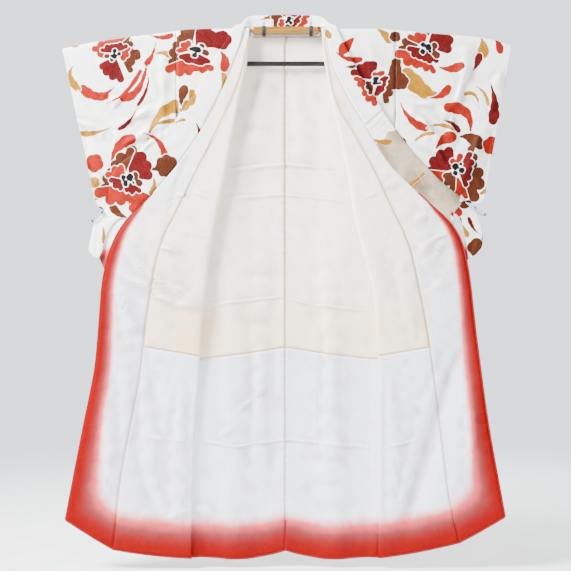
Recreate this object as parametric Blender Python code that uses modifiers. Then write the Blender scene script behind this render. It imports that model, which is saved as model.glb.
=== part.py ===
"""Komon kimono hanging open on a bamboo hanger, at real size.

Metres, +Z up. The garment's front faces -Y. The origin is at the middle of the hanger's pole.
Both fronts are folded back along a roll line, so their lining faces out. In the tables, "out" is the
distance from the centre line and "drop" is the distance below the middle of the pole. One table serves
each side, because the two sides hang a little differently.
"""

import math

import bmesh
import bpy
import numpy as np

# Cloth
CLOTH = 0.0010
LINING = 0.0010
COLLAR_CLOTH = 0.0020
COVER_CLOTH = 0.0008
GAP = 0.0003
FACET_SLACK = 0.00005
LINING_OFF = CLOTH / 2 + LINING / 2 + GAP + FACET_SLACK
COVER_OFF = COLLAR_CLOTH / 2 + COVER_CLOTH / 2 + GAP + 2 * FACET_SLACK

# Shoulders and body
SHOULDER_TOP = 0.0062
HALF_DEPTH = 0.0120
SEAM_DEPTH = 0.0020
NECK_DEPTH = 0.0065
WAIST_DEPTH = 0.0080
ROLL_ANGLE = math.radians(10.0)
NECK_FROM = 0.0975
NECK_TO = 0.1035
NECK_CUT = 0.022
NECK_HALF = 0.09
NECK_FADE = 0.06
BACK_COLUMNS = (0.0, 0.045, 0.088, 0.0975, 0.1005, 0.1035, 0.125, 0.175, 0.225, 0.270, 0.298)
# Rows of the back: 0 at the upper edge, 1 where the linings meet, 2 at the hem
BACK_BEND_ROWS = (0.0, 0.0067, 0.0134)
BACK_UPPER_ROWS = (0.0205, 0.055, 0.11, 0.17, 0.24, 0.31, 0.38, 0.395, 0.43, 0.52, 0.64, 0.76, 0.88)
BACK_LOWER_ROWS = (1.17, 1.34, 1.51, 1.68, 1.84, 2.0)
BACK_UPPER_LENGTH = 0.93
BEND_EASE = 0.0025
BACK_WAVE = 0.0055
WAVE_FROM = 0.25
WAVE_FADE = 0.90
ARMHOLE = 0.23
SLIT_END = 0.36
SLIT_FADE = 0.06
SIDE_FADE = 0.05
WAIST_FROM = 0.205
WAIST_FADE = 0.055
BODY_SIDE = {"left": 0.3158, "right": 0.3188}
SLEEVE_SIDE = 0.0007
BEND_LENGTH = math.pi / 2 * HALF_DEPTH
TOP_TO_DROP = SHOULDER_TOP + BEND_LENGTH - HALF_DEPTH

# Each side's shoulder line, top of the cloth: out, rise above SHOULDER_TOP
SHOULDER = {
    "left": (
        (0.000, 0.0),
        (0.250, 0.0),
        (0.357, -0.0125),
        (0.470, -0.0270),
        (0.554, -0.0388),
        (0.650, -0.0590),
    ),
    "right": (
        (0.000, 0.0),
        (0.280, 0.0),
        (0.322, -0.0040),
        (0.450, -0.0155),
        (0.609, -0.0330),
        (0.658, -0.0500),
    ),
}

# Side edge of the body: drop, how far in from the armhole seam
SIDE_IN = ((0.00, 0.0), (0.36, 0.0), (0.60, 0.016), (1.00, 0.034), (1.56, 0.037))

# Hem of the back: out, drop
BACK_HEM = ((0.00, 1.508), (0.06, 1.522), (0.14, 1.531), (0.28, 1.525))
# Where body lining meets skirt lining on the back: out, drop
BACK_LINING_SEAM = ((0.00, 0.919), (0.14, 0.938), (0.28, 0.952))
FRONT_LINING_SEAM = 0.958

# The folded front in rows from the shoulder to the hem:
# cut length down the roll, then out and drop of the roll line, of the okumi seam and of the free edge
FRONT_COLUMNS = ("s", "roll", "roll_drop", "seam", "seam_drop", "edge", "edge_drop")
FRONT_ROWS = {
    "left": (
        (0.000, 0.1036, -0.0125, 0.1050, -0.0125, 0.1090, -0.0125),
        (0.103, 0.1131, 0.1015, 0.1145, 0.1015, 0.1488, 0.0957),
        (0.190, 0.1317, 0.1856, 0.1485, 0.1827, 0.1827, 0.1740),
        (0.294, 0.1508, 0.2900, 0.1943, 0.2828, 0.2308, 0.2697),
        (0.424, 0.1740, 0.4176, 0.2523, 0.4002, 0.3103, 0.3886),
        (0.562, 0.2030, 0.5539, 0.3161, 0.5307, 0.4089, 0.5017),
        (0.648, 0.2187, 0.6380, 0.3567, 0.6148, 0.4785, 0.5800),
        (0.790, 0.2335, 0.7772, 0.3857, 0.7453, 0.5249, 0.7250),
        (0.900, 0.2448, 0.8845, 0.4031, 0.8555, 0.5351, 0.8323),
        (1.020, 0.2535, 1.0034, 0.4176, 0.9802, 0.5464, 0.9570),
        (1.200, 0.2668, 1.1832, 0.4495, 1.1571, 0.5771, 1.1223),
        (1.380, 0.2712, 1.3630, 0.4805, 1.3311, 0.6070, 1.2789),
        (1.550, 0.2726, 1.5254, 0.4959, 1.4877, 0.6322, 1.4123),
    ),
    "right": (
        (0.000, 0.1036, -0.0125, 0.1050, -0.0125, 0.1090, -0.0125),
        (0.103, 0.1146, 0.0957, 0.1160, 0.0957, 0.1320, 0.0928),
        (0.190, 0.1305, 0.1856, 0.1340, 0.1850, 0.1682, 0.1740),
        (0.294, 0.1537, 0.2900, 0.1885, 0.2842, 0.2277, 0.2755),
        (0.424, 0.1798, 0.4176, 0.2552, 0.4031, 0.3031, 0.3930),
        (0.562, 0.2030, 0.5539, 0.3176, 0.5336, 0.4176, 0.5046),
        (0.648, 0.2233, 0.6351, 0.3538, 0.6119, 0.4959, 0.5887),
        (0.790, 0.2581, 0.7772, 0.3877, 0.7511, 0.5307, 0.7279),
        (0.900, 0.2654, 0.8845, 0.4089, 0.8584, 0.5438, 0.8352),
        (1.020, 0.2726, 1.0034, 0.4275, 0.9802, 0.5597, 0.9570),
        (1.200, 0.2726, 1.1832, 0.4495, 1.1571, 0.5815, 1.1223),
        (1.380, 0.2712, 1.3630, 0.4713, 1.3311, 0.6081, 1.2789),
        (1.550, 0.2697, 1.5240, 0.5017, 1.4674, 0.6308, 1.4036),
    ),
}
FRONT_STATIONS = (
    0.0, 0.006, 0.0125, 0.02, 0.035, 0.06, 0.103, 0.19, 0.255, 0.294, 0.36, 0.424, 0.5, 0.562, 0.62,
    0.67, 0.73, 0.80, 0.88, FRONT_LINING_SEAM, 1.03, 1.11, 1.20, 1.29, 1.38, 1.47, 1.55,
)
UNDER_SHARES = (1.0, 0.82, 0.5, 0.2)
ROLL_SHARES = (0.0, 0.25, 0.5, 0.75, 1.0)
TURNED_SHARES = (0.11, 0.32, 0.54, 0.77)
OKUMI_SHARES = (0.0, 0.33, 0.66, 1.0)
ROLL_START = 0.12
LINING_FROM = 0.03
OKUMI_LINING_FROM = 0.05
HEM_SAG = 0.012
HEM_SAG_FROM = 1.20
HEM_SAG_FADE = 0.35
LEAST_SEAM_SHARE = 0.14
# The printed okumi starts as a point on the front's free edge and widens below it
KENSAKI = 0.25
KENSAKI_SHARE = 0.985
KENSAKI_FADE = 0.15
# Radius of the fold at the roll line: cut length down the roll, radius
ROLL_RADIUS = (
    (0.00, 0.0012),
    (0.10, 0.0050),
    (0.20, 0.0050),
    (0.33, 0.0072),
    (0.80, 0.0072),
    (1.02, 0.0032),
    (1.56, 0.0032),
)
# Largest folds of the turned-back fronts: out and drop of both ends, half width, height toward the viewer
FOLDS = {
    "left": (
        (0.415, 0.92, 0.395, 1.28, 0.034, -0.010),
        (0.395, 1.28, 0.345, 1.45, 0.034, -0.010),
        (0.520, 1.06, 0.512, 1.36, 0.030, 0.009),
        (0.458, 0.62, 0.300, 0.765, 0.022, 0.005),
        (0.484, 0.75, 0.425, 0.900, 0.020, 0.005),
    ),
    "right": (
        (0.505, 0.92, 0.450, 1.05, 0.034, -0.012),
        (0.450, 1.05, 0.345, 1.46, 0.036, -0.012),
        (0.545, 1.05, 0.530, 1.36, 0.030, 0.008),
        (0.389, 0.638, 0.461, 0.589, 0.020, 0.005),
        (0.397, 0.760, 0.470, 0.720, 0.020, 0.005),
    ),
}
FOLD_END_HEIGHT = 0.4
FOLD_FADE = 0.05
EDGE_SWING = 0.016
SWING_FROM = 0.90
SWING_FADE = 0.65

# Sleeve
SLEEVE_LENGTH = 0.490
SLEEVE_SHRINK = 0.975
CUFF = 0.23
CORNER_RADIUS = 0.03
SLEEVE_FORWARD = 0.01425
SLEEVE_TUCKED = 0.00425
SLEEVE_PINCH = 0.0010
TUCK_FADE = 0.045
TUCK_SHARE = 0.25
TUCK_SHARE_FADE = 0.30
CUFF_SEAM_SHARE = 0.88
CUFF_SEAM_FADE = 0.11
CUFF_FADE = 0.05
CORNER_FLAT = 0.05
CORNER_FADE = 0.06
SLEEVE_WIDTH = 0.33
BOTTOM_FLAT = 0.85
BOTTOM_FADE = 0.03
LEAN_START = 0.3
LEAN_FADE = 0.08
SLEEVE_SHARES = (0.0, 0.08, 0.2, 0.36, 0.56, 0.76, 0.87, 0.93, 0.97, 1.0)
SLEEVE_STEPS = (0.004, 0.0095, 0.019, 0.09, 0.17, 0.228, 0.252, 0.276, 0.35, 0.42, 0.465, 0.486)
SLEEVE = {
    "left": {"cuff_out": 0.6467, "cuff_lean": 11.7, "inner_lean": 15.0},
    "right": {"cuff_out": 0.6554, "cuff_lean": 9.6, "inner_lean": 14.0},
}

# Free edge of the turned-back collar: cut length from the shoulder, out, drop and depth
COLLAR_FREE = {
    "left": (
        (0.000, 0.1370, -0.0145, 0.0035),
        (0.006, 0.1420, -0.0118, 0.0100),
        (0.0125, 0.1470, -0.0070, 0.0142),
        (0.020, 0.1530, 0.0020, 0.0172),
        (0.035, 0.1620, 0.0180, 0.0185),
        (0.060, 0.1750, 0.0400, 0.0205),
        (0.105, 0.1972, 0.0725, 0.0215),
        (0.190, 0.2407, 0.1537, 0.0218),
        (0.294, 0.2900, 0.2262, 0.0218),
        (0.424, 0.3750, 0.3170, 0.0218),
        (0.562, 0.4850, 0.3950, 0.0210),
        (0.620, 0.5060, 0.4350, 0.0175),
    ),
    "right": (
        (0.000, 0.1370, -0.0145, 0.0035),
        (0.006, 0.1410, -0.0118, 0.0100),
        (0.0125, 0.1450, -0.0070, 0.0142),
        (0.020, 0.1490, 0.0020, 0.0172),
        (0.035, 0.1560, 0.0180, 0.0185),
        (0.060, 0.1650, 0.0380, 0.0205),
        (0.105, 0.1800, 0.0680, 0.0215),
        (0.190, 0.2175, 0.1392, 0.0218),
        (0.294, 0.2784, 0.2320, 0.0218),
        (0.424, 0.3640, 0.3480, 0.0218),
        (0.562, 0.4600, 0.4480, 0.0210),
        (0.620, 0.4950, 0.4750, 0.0175),
    ),
}
# Its pinned and hanging end: out, drop and depth of the seam, then of the free edge
COLLAR_END = {
    "left": (
        (0.4600, 0.5400, 0.0220, 0.5120, 0.4900, 0.0110),
        (0.4785, 0.5452, 0.0195, 0.5278, 0.5249, 0.0045),
        (0.5017, 0.5655, 0.0150, 0.5539, 0.5597, 0.0050),
        (0.5220, 0.6061, 0.0140, 0.5626, 0.6003, 0.0080),
        (0.5307, 0.6409, 0.0130, 0.5684, 0.6337, 0.0100),
        (0.5410, 0.6620, 0.0130, 0.5560, 0.6540, 0.0110),
    ),
    "right": (
        (0.4760, 0.5250, 0.0220, 0.5250, 0.5030, 0.0110),
        (0.4930, 0.5336, 0.0195, 0.5452, 0.5180, 0.0045),
        (0.5104, 0.5655, 0.0150, 0.5655, 0.5539, 0.0050),
        (0.5191, 0.6061, 0.0140, 0.5713, 0.5887, 0.0080),
        (0.5249, 0.6409, 0.0130, 0.5684, 0.6235, 0.0100),
        (0.5278, 0.6641, 0.0130, 0.5480, 0.6490, 0.0110),
    ),
}
# Collar round the back neck, from the side of the neck to the centre: out of the seam, out of the free
# edge, how far the free edge lies behind the pole, its rise above the pole
NECK_ROWS = (
    (0.1020, 0.1280, 0.0040, 0.0190),
    (0.1000, 0.1190, 0.0110, 0.0290),
    (0.0980, 0.1110, 0.0180, 0.0390),
    (0.0940, 0.1010, 0.0235, 0.0450),
    (0.0700, 0.0740, 0.0260, 0.0480),
    (0.0350, 0.0370, 0.0275, 0.0500),
    (0.0000, 0.0000, 0.0282, 0.0505),
)
NECK_SEAM_GAP = 0.0018
NECK_TURN_FROM = 0.08
NECK_TURN_FADE = 0.01
COLLAR_SHARES = (0.0, 0.33, 0.66, 1.0)
COLLAR_SEAM_GAP = 0.0012
# The cover reaches this far down each front, and near the neck it is looser and narrower
COVER_END = 0.300
COVER_NECK_OUT = 0.15
COVER_NECK_FADE = 0.02
COVER_NECK_OFF = 0.0016
COVER_SET_IN = 0.05
COVER_NECK_SET_IN = 0.55
COVER_NECK_BACK = 0.7

# Hanger
POLE_RADIUS = 0.0138
POLE_HALF = 0.0935
POLE_SIDES = 24
ARM_RADIUS = 0.0050
ARM_SLACK = 0.0006
ARM_POINTS = 14
BAND_SIDES = 20
ARM_END = {"left": 0.560, "right": 0.580}
BAND_OUT = {"left": 0.0624, "right": 0.0740}
BAND_RADIUS = 0.0148
BAND_CLOTH = 0.0012
BAND_WIDTH = 0.011
WIRE_RADIUS = 0.0012
WIRE_TOP = 0.085
OBI_BAR_DROP = 0.0953
OBI_BAR_HALF = 0.185
OBI_BAR_HEIGHT = 0.0135
OBI_BAR_DEPTH = 0.0090
LINK_OUT = 0.165
LINK_RADIUS = 0.0025

# Clips: out and drop of the slot's open end, lean below level; depths in front of and behind the sleeve
CLIP = {"left": (0.524, 0.5225, 40.0), "right": (0.540, 0.508, 34.0)}
CLIP_LENGTH = 0.046
CLIP_SLOT = 0.040
CLIP_FRONT = 0.0080
CLIP_BACK = 0.0022
CLIP_WALL = 0.0018
CLIP_WIDTH = 0.009

COLOURS = {
    "silk": (0.93, 0.91, 0.88, 1.0),
    "lining": (0.94, 0.90, 0.87, 1.0),
    "skirt_lining": (0.88, 0.90, 0.93, 1.0),
    "bamboo": (0.62, 0.42, 0.17, 1.0),
    "black": (0.02, 0.02, 0.02, 1.0),
    "clip": (0.90, 0.90, 0.90, 1.0),
}


def clear_scene():
    for obj in list(bpy.data.objects):
        bpy.data.objects.remove(obj, do_unlink=True)


def new_collection(name):
    collection = bpy.data.collections.new(name)
    bpy.context.scene.collection.children.link(collection)
    return collection


def material(name, colour, roughness, metallic=0.0):
    made = bpy.data.materials.new(name)
    made.use_nodes = True
    shader = made.node_tree.nodes["Principled BSDF"]
    shader.inputs["Base Color"].default_value = colour
    shader.inputs["Roughness"].default_value = roughness
    shader.inputs["Metallic"].default_value = metallic
    return made


def smooth(x):
    """0 below 0, 1 above 1, and an even rise between."""
    x = np.clip(x, 0.0, 1.0)
    return x * x * (3.0 - 2.0 * x)


def curve(points, at, column=1):
    """Smooth curve through a table's first column and one other, with no bump that the table lacks."""
    table = np.array(points, float)
    x, y = table[:, 0], table[:, column]
    steps = np.diff(x)
    slopes = np.diff(y) / steps
    slope = np.concatenate([slopes[:1], np.zeros(len(x) - 2), slopes[-1:]])
    same = slopes[1:] * slopes[:-1] > 0.0
    safe = np.where(slopes == 0.0, 1.0, slopes)
    mean = (steps[1:] + steps[:-1]) / np.where(same, steps[1:] / safe[:-1] + steps[:-1] / safe[1:], 1.0)
    slope[1:-1] = np.where(same, mean, 0.0)
    at = np.clip(np.asarray(at, float), x[0], x[-1])
    i = np.clip(np.searchsorted(x, at) - 1, 0, len(x) - 2)
    width = x[i + 1] - x[i]
    u = (at - x[i]) / width
    rise = y[i + 1] - y[i]
    a = slope[i] * width - rise
    b = rise - slope[i + 1] * width
    return y[i] + rise * u + u * (1.0 - u) * (a * (1.0 - u) + b * u)


def shoulder_top(side, out):
    return SHOULDER_TOP + curve(SHOULDER[side], out)


def side_out(side, drop):
    """Where the body's side edge is."""
    return BODY_SIDE[side] - curve(SIDE_IN, drop)


def half_depth(side, out, drop):
    """Half the distance from the front's cloth to the back's, which narrows at the side seam."""
    near_side = 1.0 - smooth((side_out(side, drop) - out) / SIDE_FADE)
    pinch = near_side * smooth((drop - SLIT_END) / SLIT_FADE)
    depth = HALF_DEPTH + (WAIST_DEPTH - HALF_DEPTH) * smooth((drop - WAIST_FROM) / WAIST_FADE)
    return depth + (SEAM_DEPTH - depth) * pinch


def hung_point(side, out, top, along, depth, off, facing):
    """A point of cloth that goes over the shoulder line and hangs.

    top is the height of the shoulder line that it hangs from, along is how far the cloth has gone from
    there, and off is how far the point lies outside the cloth's own surface.
    """
    angle = np.clip(along / HALF_DEPTH, 0.0, math.pi / 2)
    below = np.maximum(along - BEND_LENGTH, 0.0)
    y = facing * (depth + off) * np.sin(angle)
    z = top - HALF_DEPTH + (HALF_DEPTH + off) * np.cos(angle) - below
    x = out if side == "right" else -out
    return np.array([float(x), float(y), float(z)])


def drape_point(side, out, drop, depth, off, facing):
    """The same for a place that the tables give by its drop below the pole."""
    top = shoulder_top(side, out)
    return hung_point(side, out, top, top - SHOULDER_TOP + TOP_TO_DROP + drop, depth, off, facing)


def front_row(side, s):
    """Where a row of the folded front bends, its okumi seam and its free edge: (out, drop) of each."""
    rows = FRONT_ROWS[side]
    values = [float(curve(rows, s, k)) for k in range(1, len(FRONT_COLUMNS))]
    bend, seam, edge = [np.array(values[k:k + 2]) for k in (0, 2, 4)]
    bend[0] += float(curve(ROLL_RADIUS, s))
    least = bend + (edge - bend) * LEAST_SEAM_SHARE
    if seam[0] < least[0]:
        seam = least
    return bend, seam, edge


def seam_share(side, s):
    """How far across the turned-back part the okumi's inner edge is, from 0 at the roll to 1."""
    bend, seam, edge = front_row(side, s)
    first = np.linalg.norm(seam - bend)
    return first / (first + np.linalg.norm(edge - seam))


def seam_step(side, s):
    """Half a seam's gap as a share of the turned-back part's width."""
    bend, seam, edge = front_row(side, s)
    return GAP / 2 / (np.linalg.norm(seam - bend) + np.linalg.norm(edge - seam))


def outer_seam_share(side, s):
    """The same for the printed okumi, which starts as a point at the kensaki."""
    blend = float(smooth((s - KENSAKI) / KENSAKI_FADE))
    return KENSAKI_SHARE + (seam_share(side, s) - KENSAKI_SHARE) * blend


def fold_height(side, out, drop):
    """Height of the large folds over a place on the turned-back front."""
    height = 0.0
    for out_a, drop_a, out_b, drop_b, width, size in FOLDS[side]:
        dx, dz = out_b - out_a, drop_b - drop_a
        along = np.clip(((out - out_a) * dx + (drop - drop_a) * dz) / (dx * dx + dz * dz), 0.0, 1.0)
        away = np.hypot(out - out_a - along * dx, drop - drop_a - along * dz)
        shape = FOLD_END_HEIGHT + (1.0 - FOLD_END_HEIGHT) * np.sin(math.pi * along)
        height = height + size * shape * np.exp(-((away / width) ** 2))
    return height


def turned_point(side, s, share, off):
    """A point on the turned-back part of a front: share 0 at the roll line, 1 at the free edge."""
    start, seam, edge = front_row(side, s)
    radius = float(curve(ROLL_RADIUS, s))
    split = seam_share(side, s)
    if share < split:
        place = start + (seam - start) * (share / split)
    else:
        place = seam + (edge - seam) * ((share - split) / (1.0 - split))
    out, drop = place
    drop = drop + HEM_SAG * 4.0 * share * (1.0 - share) * float(smooth((s - HEM_SAG_FROM) / HEM_SAG_FADE))
    depth = float(half_depth(side, start[0], start[1]))
    width = np.linalg.norm(edge - start)
    lift = float(fold_height(side, out, drop)) * float(smooth(share * width / FOLD_FADE))
    lift += EDGE_SWING * float(smooth((s - SWING_FROM) / SWING_FADE)) * share ** 1.5
    return drape_point(side, out, drop, depth, 2.0 * radius + off + lift, -1.0)


def front_point(side, s, column, share, off):
    """A point of a front: column is "under" (not turned, share 1 at the side), "roll" or "turned"."""
    start = front_row(side, s)[0]
    radius = float(curve(ROLL_RADIUS, s))
    if column == "turned":
        return turned_point(side, s, share, off)
    if column == "roll":
        angle = math.pi * share
        out = start[0] - (radius + off) * math.sin(angle)
        depth = float(half_depth(side, start[0], start[1]))
        return drape_point(side, out, start[1], depth, radius - (radius + off) * math.cos(angle), -1.0)
    reach = BODY_SIDE[side] - start[0]
    side_drop = start[1] - math.tan(ROLL_ANGLE) * reach * float(smooth(s / ROLL_START))
    side_place = float(side_out(side, side_drop))
    out = start[0] + (side_place - start[0]) * share
    drop = start[1] + (side_drop - start[1]) * share
    if s < ROLL_START:
        drop -= (float(shoulder_top(side, out)) - SHOULDER_TOP) * share
    depth = float(half_depth(side, out, drop))
    return drape_point(side, out, drop, depth, -off, -1.0)


def front_grid(side, rows, off, last_share):
    """Rows of points across a whole front, from its side edge to the okumi seam."""
    columns = [("under", x) for x in UNDER_SHARES]
    columns += [("roll", x) for x in ROLL_SHARES]
    grid = []
    for s in rows:
        last = last_share(side, s)
        inner = seam_share(side, s)
        turned = [("turned", inner * x) for x in TURNED_SHARES] + [("turned", last)]
        grid.append([front_point(side, s, kind, share, off) for kind, share in columns + turned])
    return np.array(grid)


def okumi_grid(side, rows, off, first_share):
    grid = []
    for s in rows:
        first = first_share(side, s)
        grid.append([turned_point(side, s, first + (1.0 - first) * x, off) for x in OKUMI_SHARES])
    return np.array(grid)


def back_wave(out, drop, side):
    """Soft folds of the back, none at the centre seam or the side seams."""
    reach = side_out(side, drop)
    inside = np.clip(out / reach, 0.0, 1.0)
    size = BACK_WAVE * smooth((drop - WAVE_FROM) / WAVE_FADE)
    return size * np.sin(3.0 * math.pi * inside) * np.sin(math.pi * inside)


def back_point(side, out, drop, off):
    depth = half_depth(side, out, drop) + NECK_DEPTH * (1.0 - smooth((out - NECK_HALF) / NECK_FADE))
    return drape_point(side, out, drop, depth + back_wave(out, drop, side), off, 1.0)


def neck_cut(out):
    """How far below the shoulder line the back's upper edge is, which is more behind the neck."""
    return NECK_CUT * (1.0 - smooth((out - NECK_FROM) / (NECK_TO - NECK_FROM)))


def back_drop(out, row):
    """Drop of a row of the back: 0 at the upper edge, 1 where the linings meet, 2 at the hem."""
    seam = float(curve(BACK_LINING_SEAM, out))
    if row > 1.0:
        return seam + (float(curve(BACK_HEM, out)) - seam) * (row - 1.0)
    cut = float(neck_cut(out)) + 2 * GAP
    knee = max(BEND_LENGTH, cut + BEND_EASE)
    length = seam + TOP_TO_DROP
    along = row * length
    if along < BEND_LENGTH:
        return cut + (knee - cut) * along / BEND_LENGTH - TOP_TO_DROP
    return knee + (length - knee) * (along - BEND_LENGTH) / (length - BEND_LENGTH) - TOP_TO_DROP


def back_grid(side, rows, off):
    """Rows of points across half of the back, from the centre seam to the side edge."""
    grid = []
    for row in rows:
        points = []
        for out in BACK_COLUMNS + (BODY_SIDE[side],):
            drop = back_drop(out, row)
            out = max(GAP / 2, out * float(side_out(side, drop)) / BODY_SIDE[side])
            points.append(back_point(side, out, drop, off))
        grid.append(points)
    return np.array(grid)


def sleeve_place(share, drop, length):
    """Middle and half depth of a sleeve: share 0 at the body and 1 at the cuff edge.

    Below the armhole its inner part lies in front of the body, and its bottom corner is flat.
    """
    before = smooth((drop - ARMHOLE) / TUCK_FADE) * (1.0 - smooth((share - TUCK_SHARE) / TUCK_SHARE_FADE))
    depth = HALF_DEPTH + (SLEEVE_TUCKED - HALF_DEPTH) * before
    middle = -SLEEVE_FORWARD * before
    closed = smooth((share - CUFF_SEAM_SHARE) / CUFF_SEAM_FADE) * smooth((drop - CUFF) / CUFF_FADE)
    from_corner = math.hypot((1.0 - share) * SLEEVE_WIDTH, length - drop)
    corner = 1.0 - smooth((from_corner - CORNER_FLAT) / CORNER_FADE)
    bottom = BOTTOM_FLAT * (1.0 - smooth((length - drop) / BOTTOM_FADE))
    flat = max(float(closed), float(corner), float(bottom))
    return float(middle), float(depth) + (SLEEVE_PINCH - float(depth)) * flat


def sleeve_point(side, share, drop_share, facing):
    """A point of a sleeve: share 0 at the body and 1 at the cuff, drop_share 0 at the fold and 1 below."""
    size = SLEEVE[side]
    inner = BODY_SIDE[side] + SLEEVE_SIDE
    top_out = inner + (size["cuff_out"] - inner) * share
    from_corner = max(0.0, top_out - size["cuff_out"] + CORNER_RADIUS) / CORNER_RADIUS
    length = SLEEVE_LENGTH - CORNER_RADIUS * (1.0 - math.sqrt(max(0.0, 1.0 - from_corner * from_corner)))
    drop = length * drop_share
    free = max(0.0, drop - ARMHOLE - TUCK_FADE)
    lean_in = math.tan(math.radians(size["inner_lean"])) * free
    lean_in *= float(smooth(LEAN_START + free / LEAN_FADE))
    lean_cuff = math.tan(math.radians(size["cuff_lean"])) * drop
    out = top_out - lean_in * (1.0 - share) - lean_cuff * share
    middle, depth = sleeve_place(share, drop, length)
    top = float(shoulder_top(side, top_out))
    place = hung_point(side, out, top, drop * SLEEVE_SHRINK, depth, 0.0, facing)
    place[1] += middle * min(1.0, drop / BEND_LENGTH)
    return place


def sleeve_grid(side):
    """Rings round the sleeve, one for each step from the body to the cuff."""
    grid = []
    for share in SLEEVE_SHARES:
        ring = [sleeve_point(side, share, 0.0, -1.0)]
        ring += [sleeve_point(side, share, x / SLEEVE_LENGTH, -1.0) for x in SLEEVE_STEPS]
        bottom = sleeve_point(side, share, 1.0, -1.0)
        bottom[1] = sleeve_point(side, share, 1.0, 0.0)[1]
        ring.append(bottom)
        ring += [sleeve_point(side, share, x / SLEEVE_LENGTH, 1.0) for x in reversed(SLEEVE_STEPS)]
        grid.append(ring)
    return np.array(grid)


def collar_side(side):
    """Seam and free edge of one side of the collar, from its end up to the centre of the back neck."""
    sign = 1.0 if side == "right" else -1.0
    seam, free = [], []
    for seam_out, seam_drop, seam_depth, free_out, free_drop, free_depth in reversed(COLLAR_END[side]):
        seam.append((sign * seam_out, -seam_depth, -seam_drop))
        free.append((sign * free_out, -free_depth, -free_drop))
    for s in reversed([s for s in FRONT_STATIONS if s <= COLLAR_FREE[side][-1][0]]):
        place = turned_point(side, s, 1.0, COLLAR_CLOTH / 4)
        place[0] += sign * COLLAR_SEAM_GAP
        seam.append(place)
        out, drop, depth = [float(curve(COLLAR_FREE[side], s, k)) for k in (1, 2, 3)]
        free.append((sign * out, -depth, -drop))
    for seam_out, free_out, back, rise in NECK_ROWS:
        turn = float(smooth((seam_out - NECK_TURN_FROM) / NECK_TURN_FADE))
        place = back_point(side, seam_out, float(neck_cut(seam_out)) - TOP_TO_DROP - NECK_SEAM_GAP, 0.0)
        place += np.array([-sign * 1.4 * NECK_SEAM_GAP, 0.0, 0.6 * NECK_SEAM_GAP]) * turn
        seam.append(place)
        free.append((sign * free_out, back, rise))
    return [np.array(p, float) for p in seam], [np.array(p, float) for p in free]


def collar_lines():
    """Seam and free edge of the whole collar, from the left end round the neck to the right end."""
    left_seam, left_free = collar_side("left")
    right_seam, right_free = collar_side("right")
    return np.array(left_seam + right_seam[-2::-1]), np.array(left_free + right_free[-2::-1])


def collar_grid():
    seams, frees = collar_lines()
    return np.array([[a + (b - a) * x for x in COLLAR_SHARES] for a, b in zip(seams, frees)])


def grid_normals(grid):
    """Unit normals of a grid of points, with the same rows and columns."""
    along = np.gradient(grid, axis=0)
    across = np.gradient(grid, axis=1)
    normal = np.cross(along, across)
    return normal / np.linalg.norm(normal, axis=2, keepdims=True)


def cover_grid():
    """The cover wraps the collar's free edge, from one end line round the neck to the other."""
    grid = collar_grid()
    normals = grid_normals(grid)
    across = grid[:, -1] - grid[:, 0]
    across = across / np.linalg.norm(across, axis=1, keepdims=True)
    ends = len(COLLAR_END["left"])
    ends += sum(COVER_END < s <= COLLAR_FREE["left"][-1][0] for s in FRONT_STATIONS)
    keep = range(ends, len(grid) - ends)
    rows = []
    for i in keep:
        beyond = abs(grid[i, -1, 0]) - COVER_NECK_OUT
        near_neck = 1.0 - float(smooth(beyond / COVER_NECK_FADE))
        off = COVER_OFF + COVER_NECK_OFF * near_neck
        front = [grid[i, j] + normals[i, j] * off for j in range(grid.shape[1])]
        front[0] = front[0] + (front[1] - front[0]) * (COVER_SET_IN + COVER_NECK_SET_IN * near_neck)
        turn = [
            grid[i, -1] + (normals[i, -1] * math.cos(a) + across[i] * math.sin(a)) * off
            for a in (math.radians(45), math.radians(90), math.radians(135))
        ]
        narrow = COVER_NECK_BACK * near_neck
        back = [grid[i, j] + (grid[i, -1] - grid[i, j]) * narrow - normals[i, j] * off for j in (3, 2, 1)]
        rows.append(front + turn + back)
    return np.array(rows)


def make_sheet(name, grid, thickness, look, collection, ring=False):
    """A cloth wall through a grid of points; ring joins the last column to the first."""
    rows, columns = grid.shape[:2]
    bm = bmesh.new()
    across = columns if ring else columns - 1
    bmesh.ops.create_grid(bm, x_segments=across, y_segments=rows - 1, size=1.0)
    for vertex in bm.verts:
        i = round((vertex.co.y + 1.0) / 2.0 * (rows - 1))
        j = round((vertex.co.x + 1.0) / 2.0 * across)
        vertex.co = grid[i, j % columns]
    if ring:
        bmesh.ops.remove_doubles(bm, verts=bm.verts, dist=1e-6)
    bmesh.ops.recalc_face_normals(bm, faces=bm.faces)
    mesh = bpy.data.meshes.new(name)
    bm.to_mesh(mesh)
    bm.free()
    obj = bpy.data.objects.new(name, mesh)
    collection.objects.link(obj)
    wall = obj.modifiers.new("Wall", "SOLIDIFY")
    wall.thickness = thickness
    wall.offset = 0.0
    wall.use_even_offset = True
    mesh.materials.append(look)
    mesh.shade_smooth()
    return obj


def make_solid(name, look, collection, build):
    """An object from a bmesh that build fills in."""
    bm = bmesh.new()
    build(bm)
    mesh = bpy.data.meshes.new(name)
    bm.to_mesh(mesh)
    bm.free()
    mesh.materials.append(look)
    mesh.shade_smooth()
    mesh.set_sharp_from_angle(angle=math.radians(40))
    obj = bpy.data.objects.new(name, mesh)
    collection.objects.link(obj)
    return obj


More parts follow.
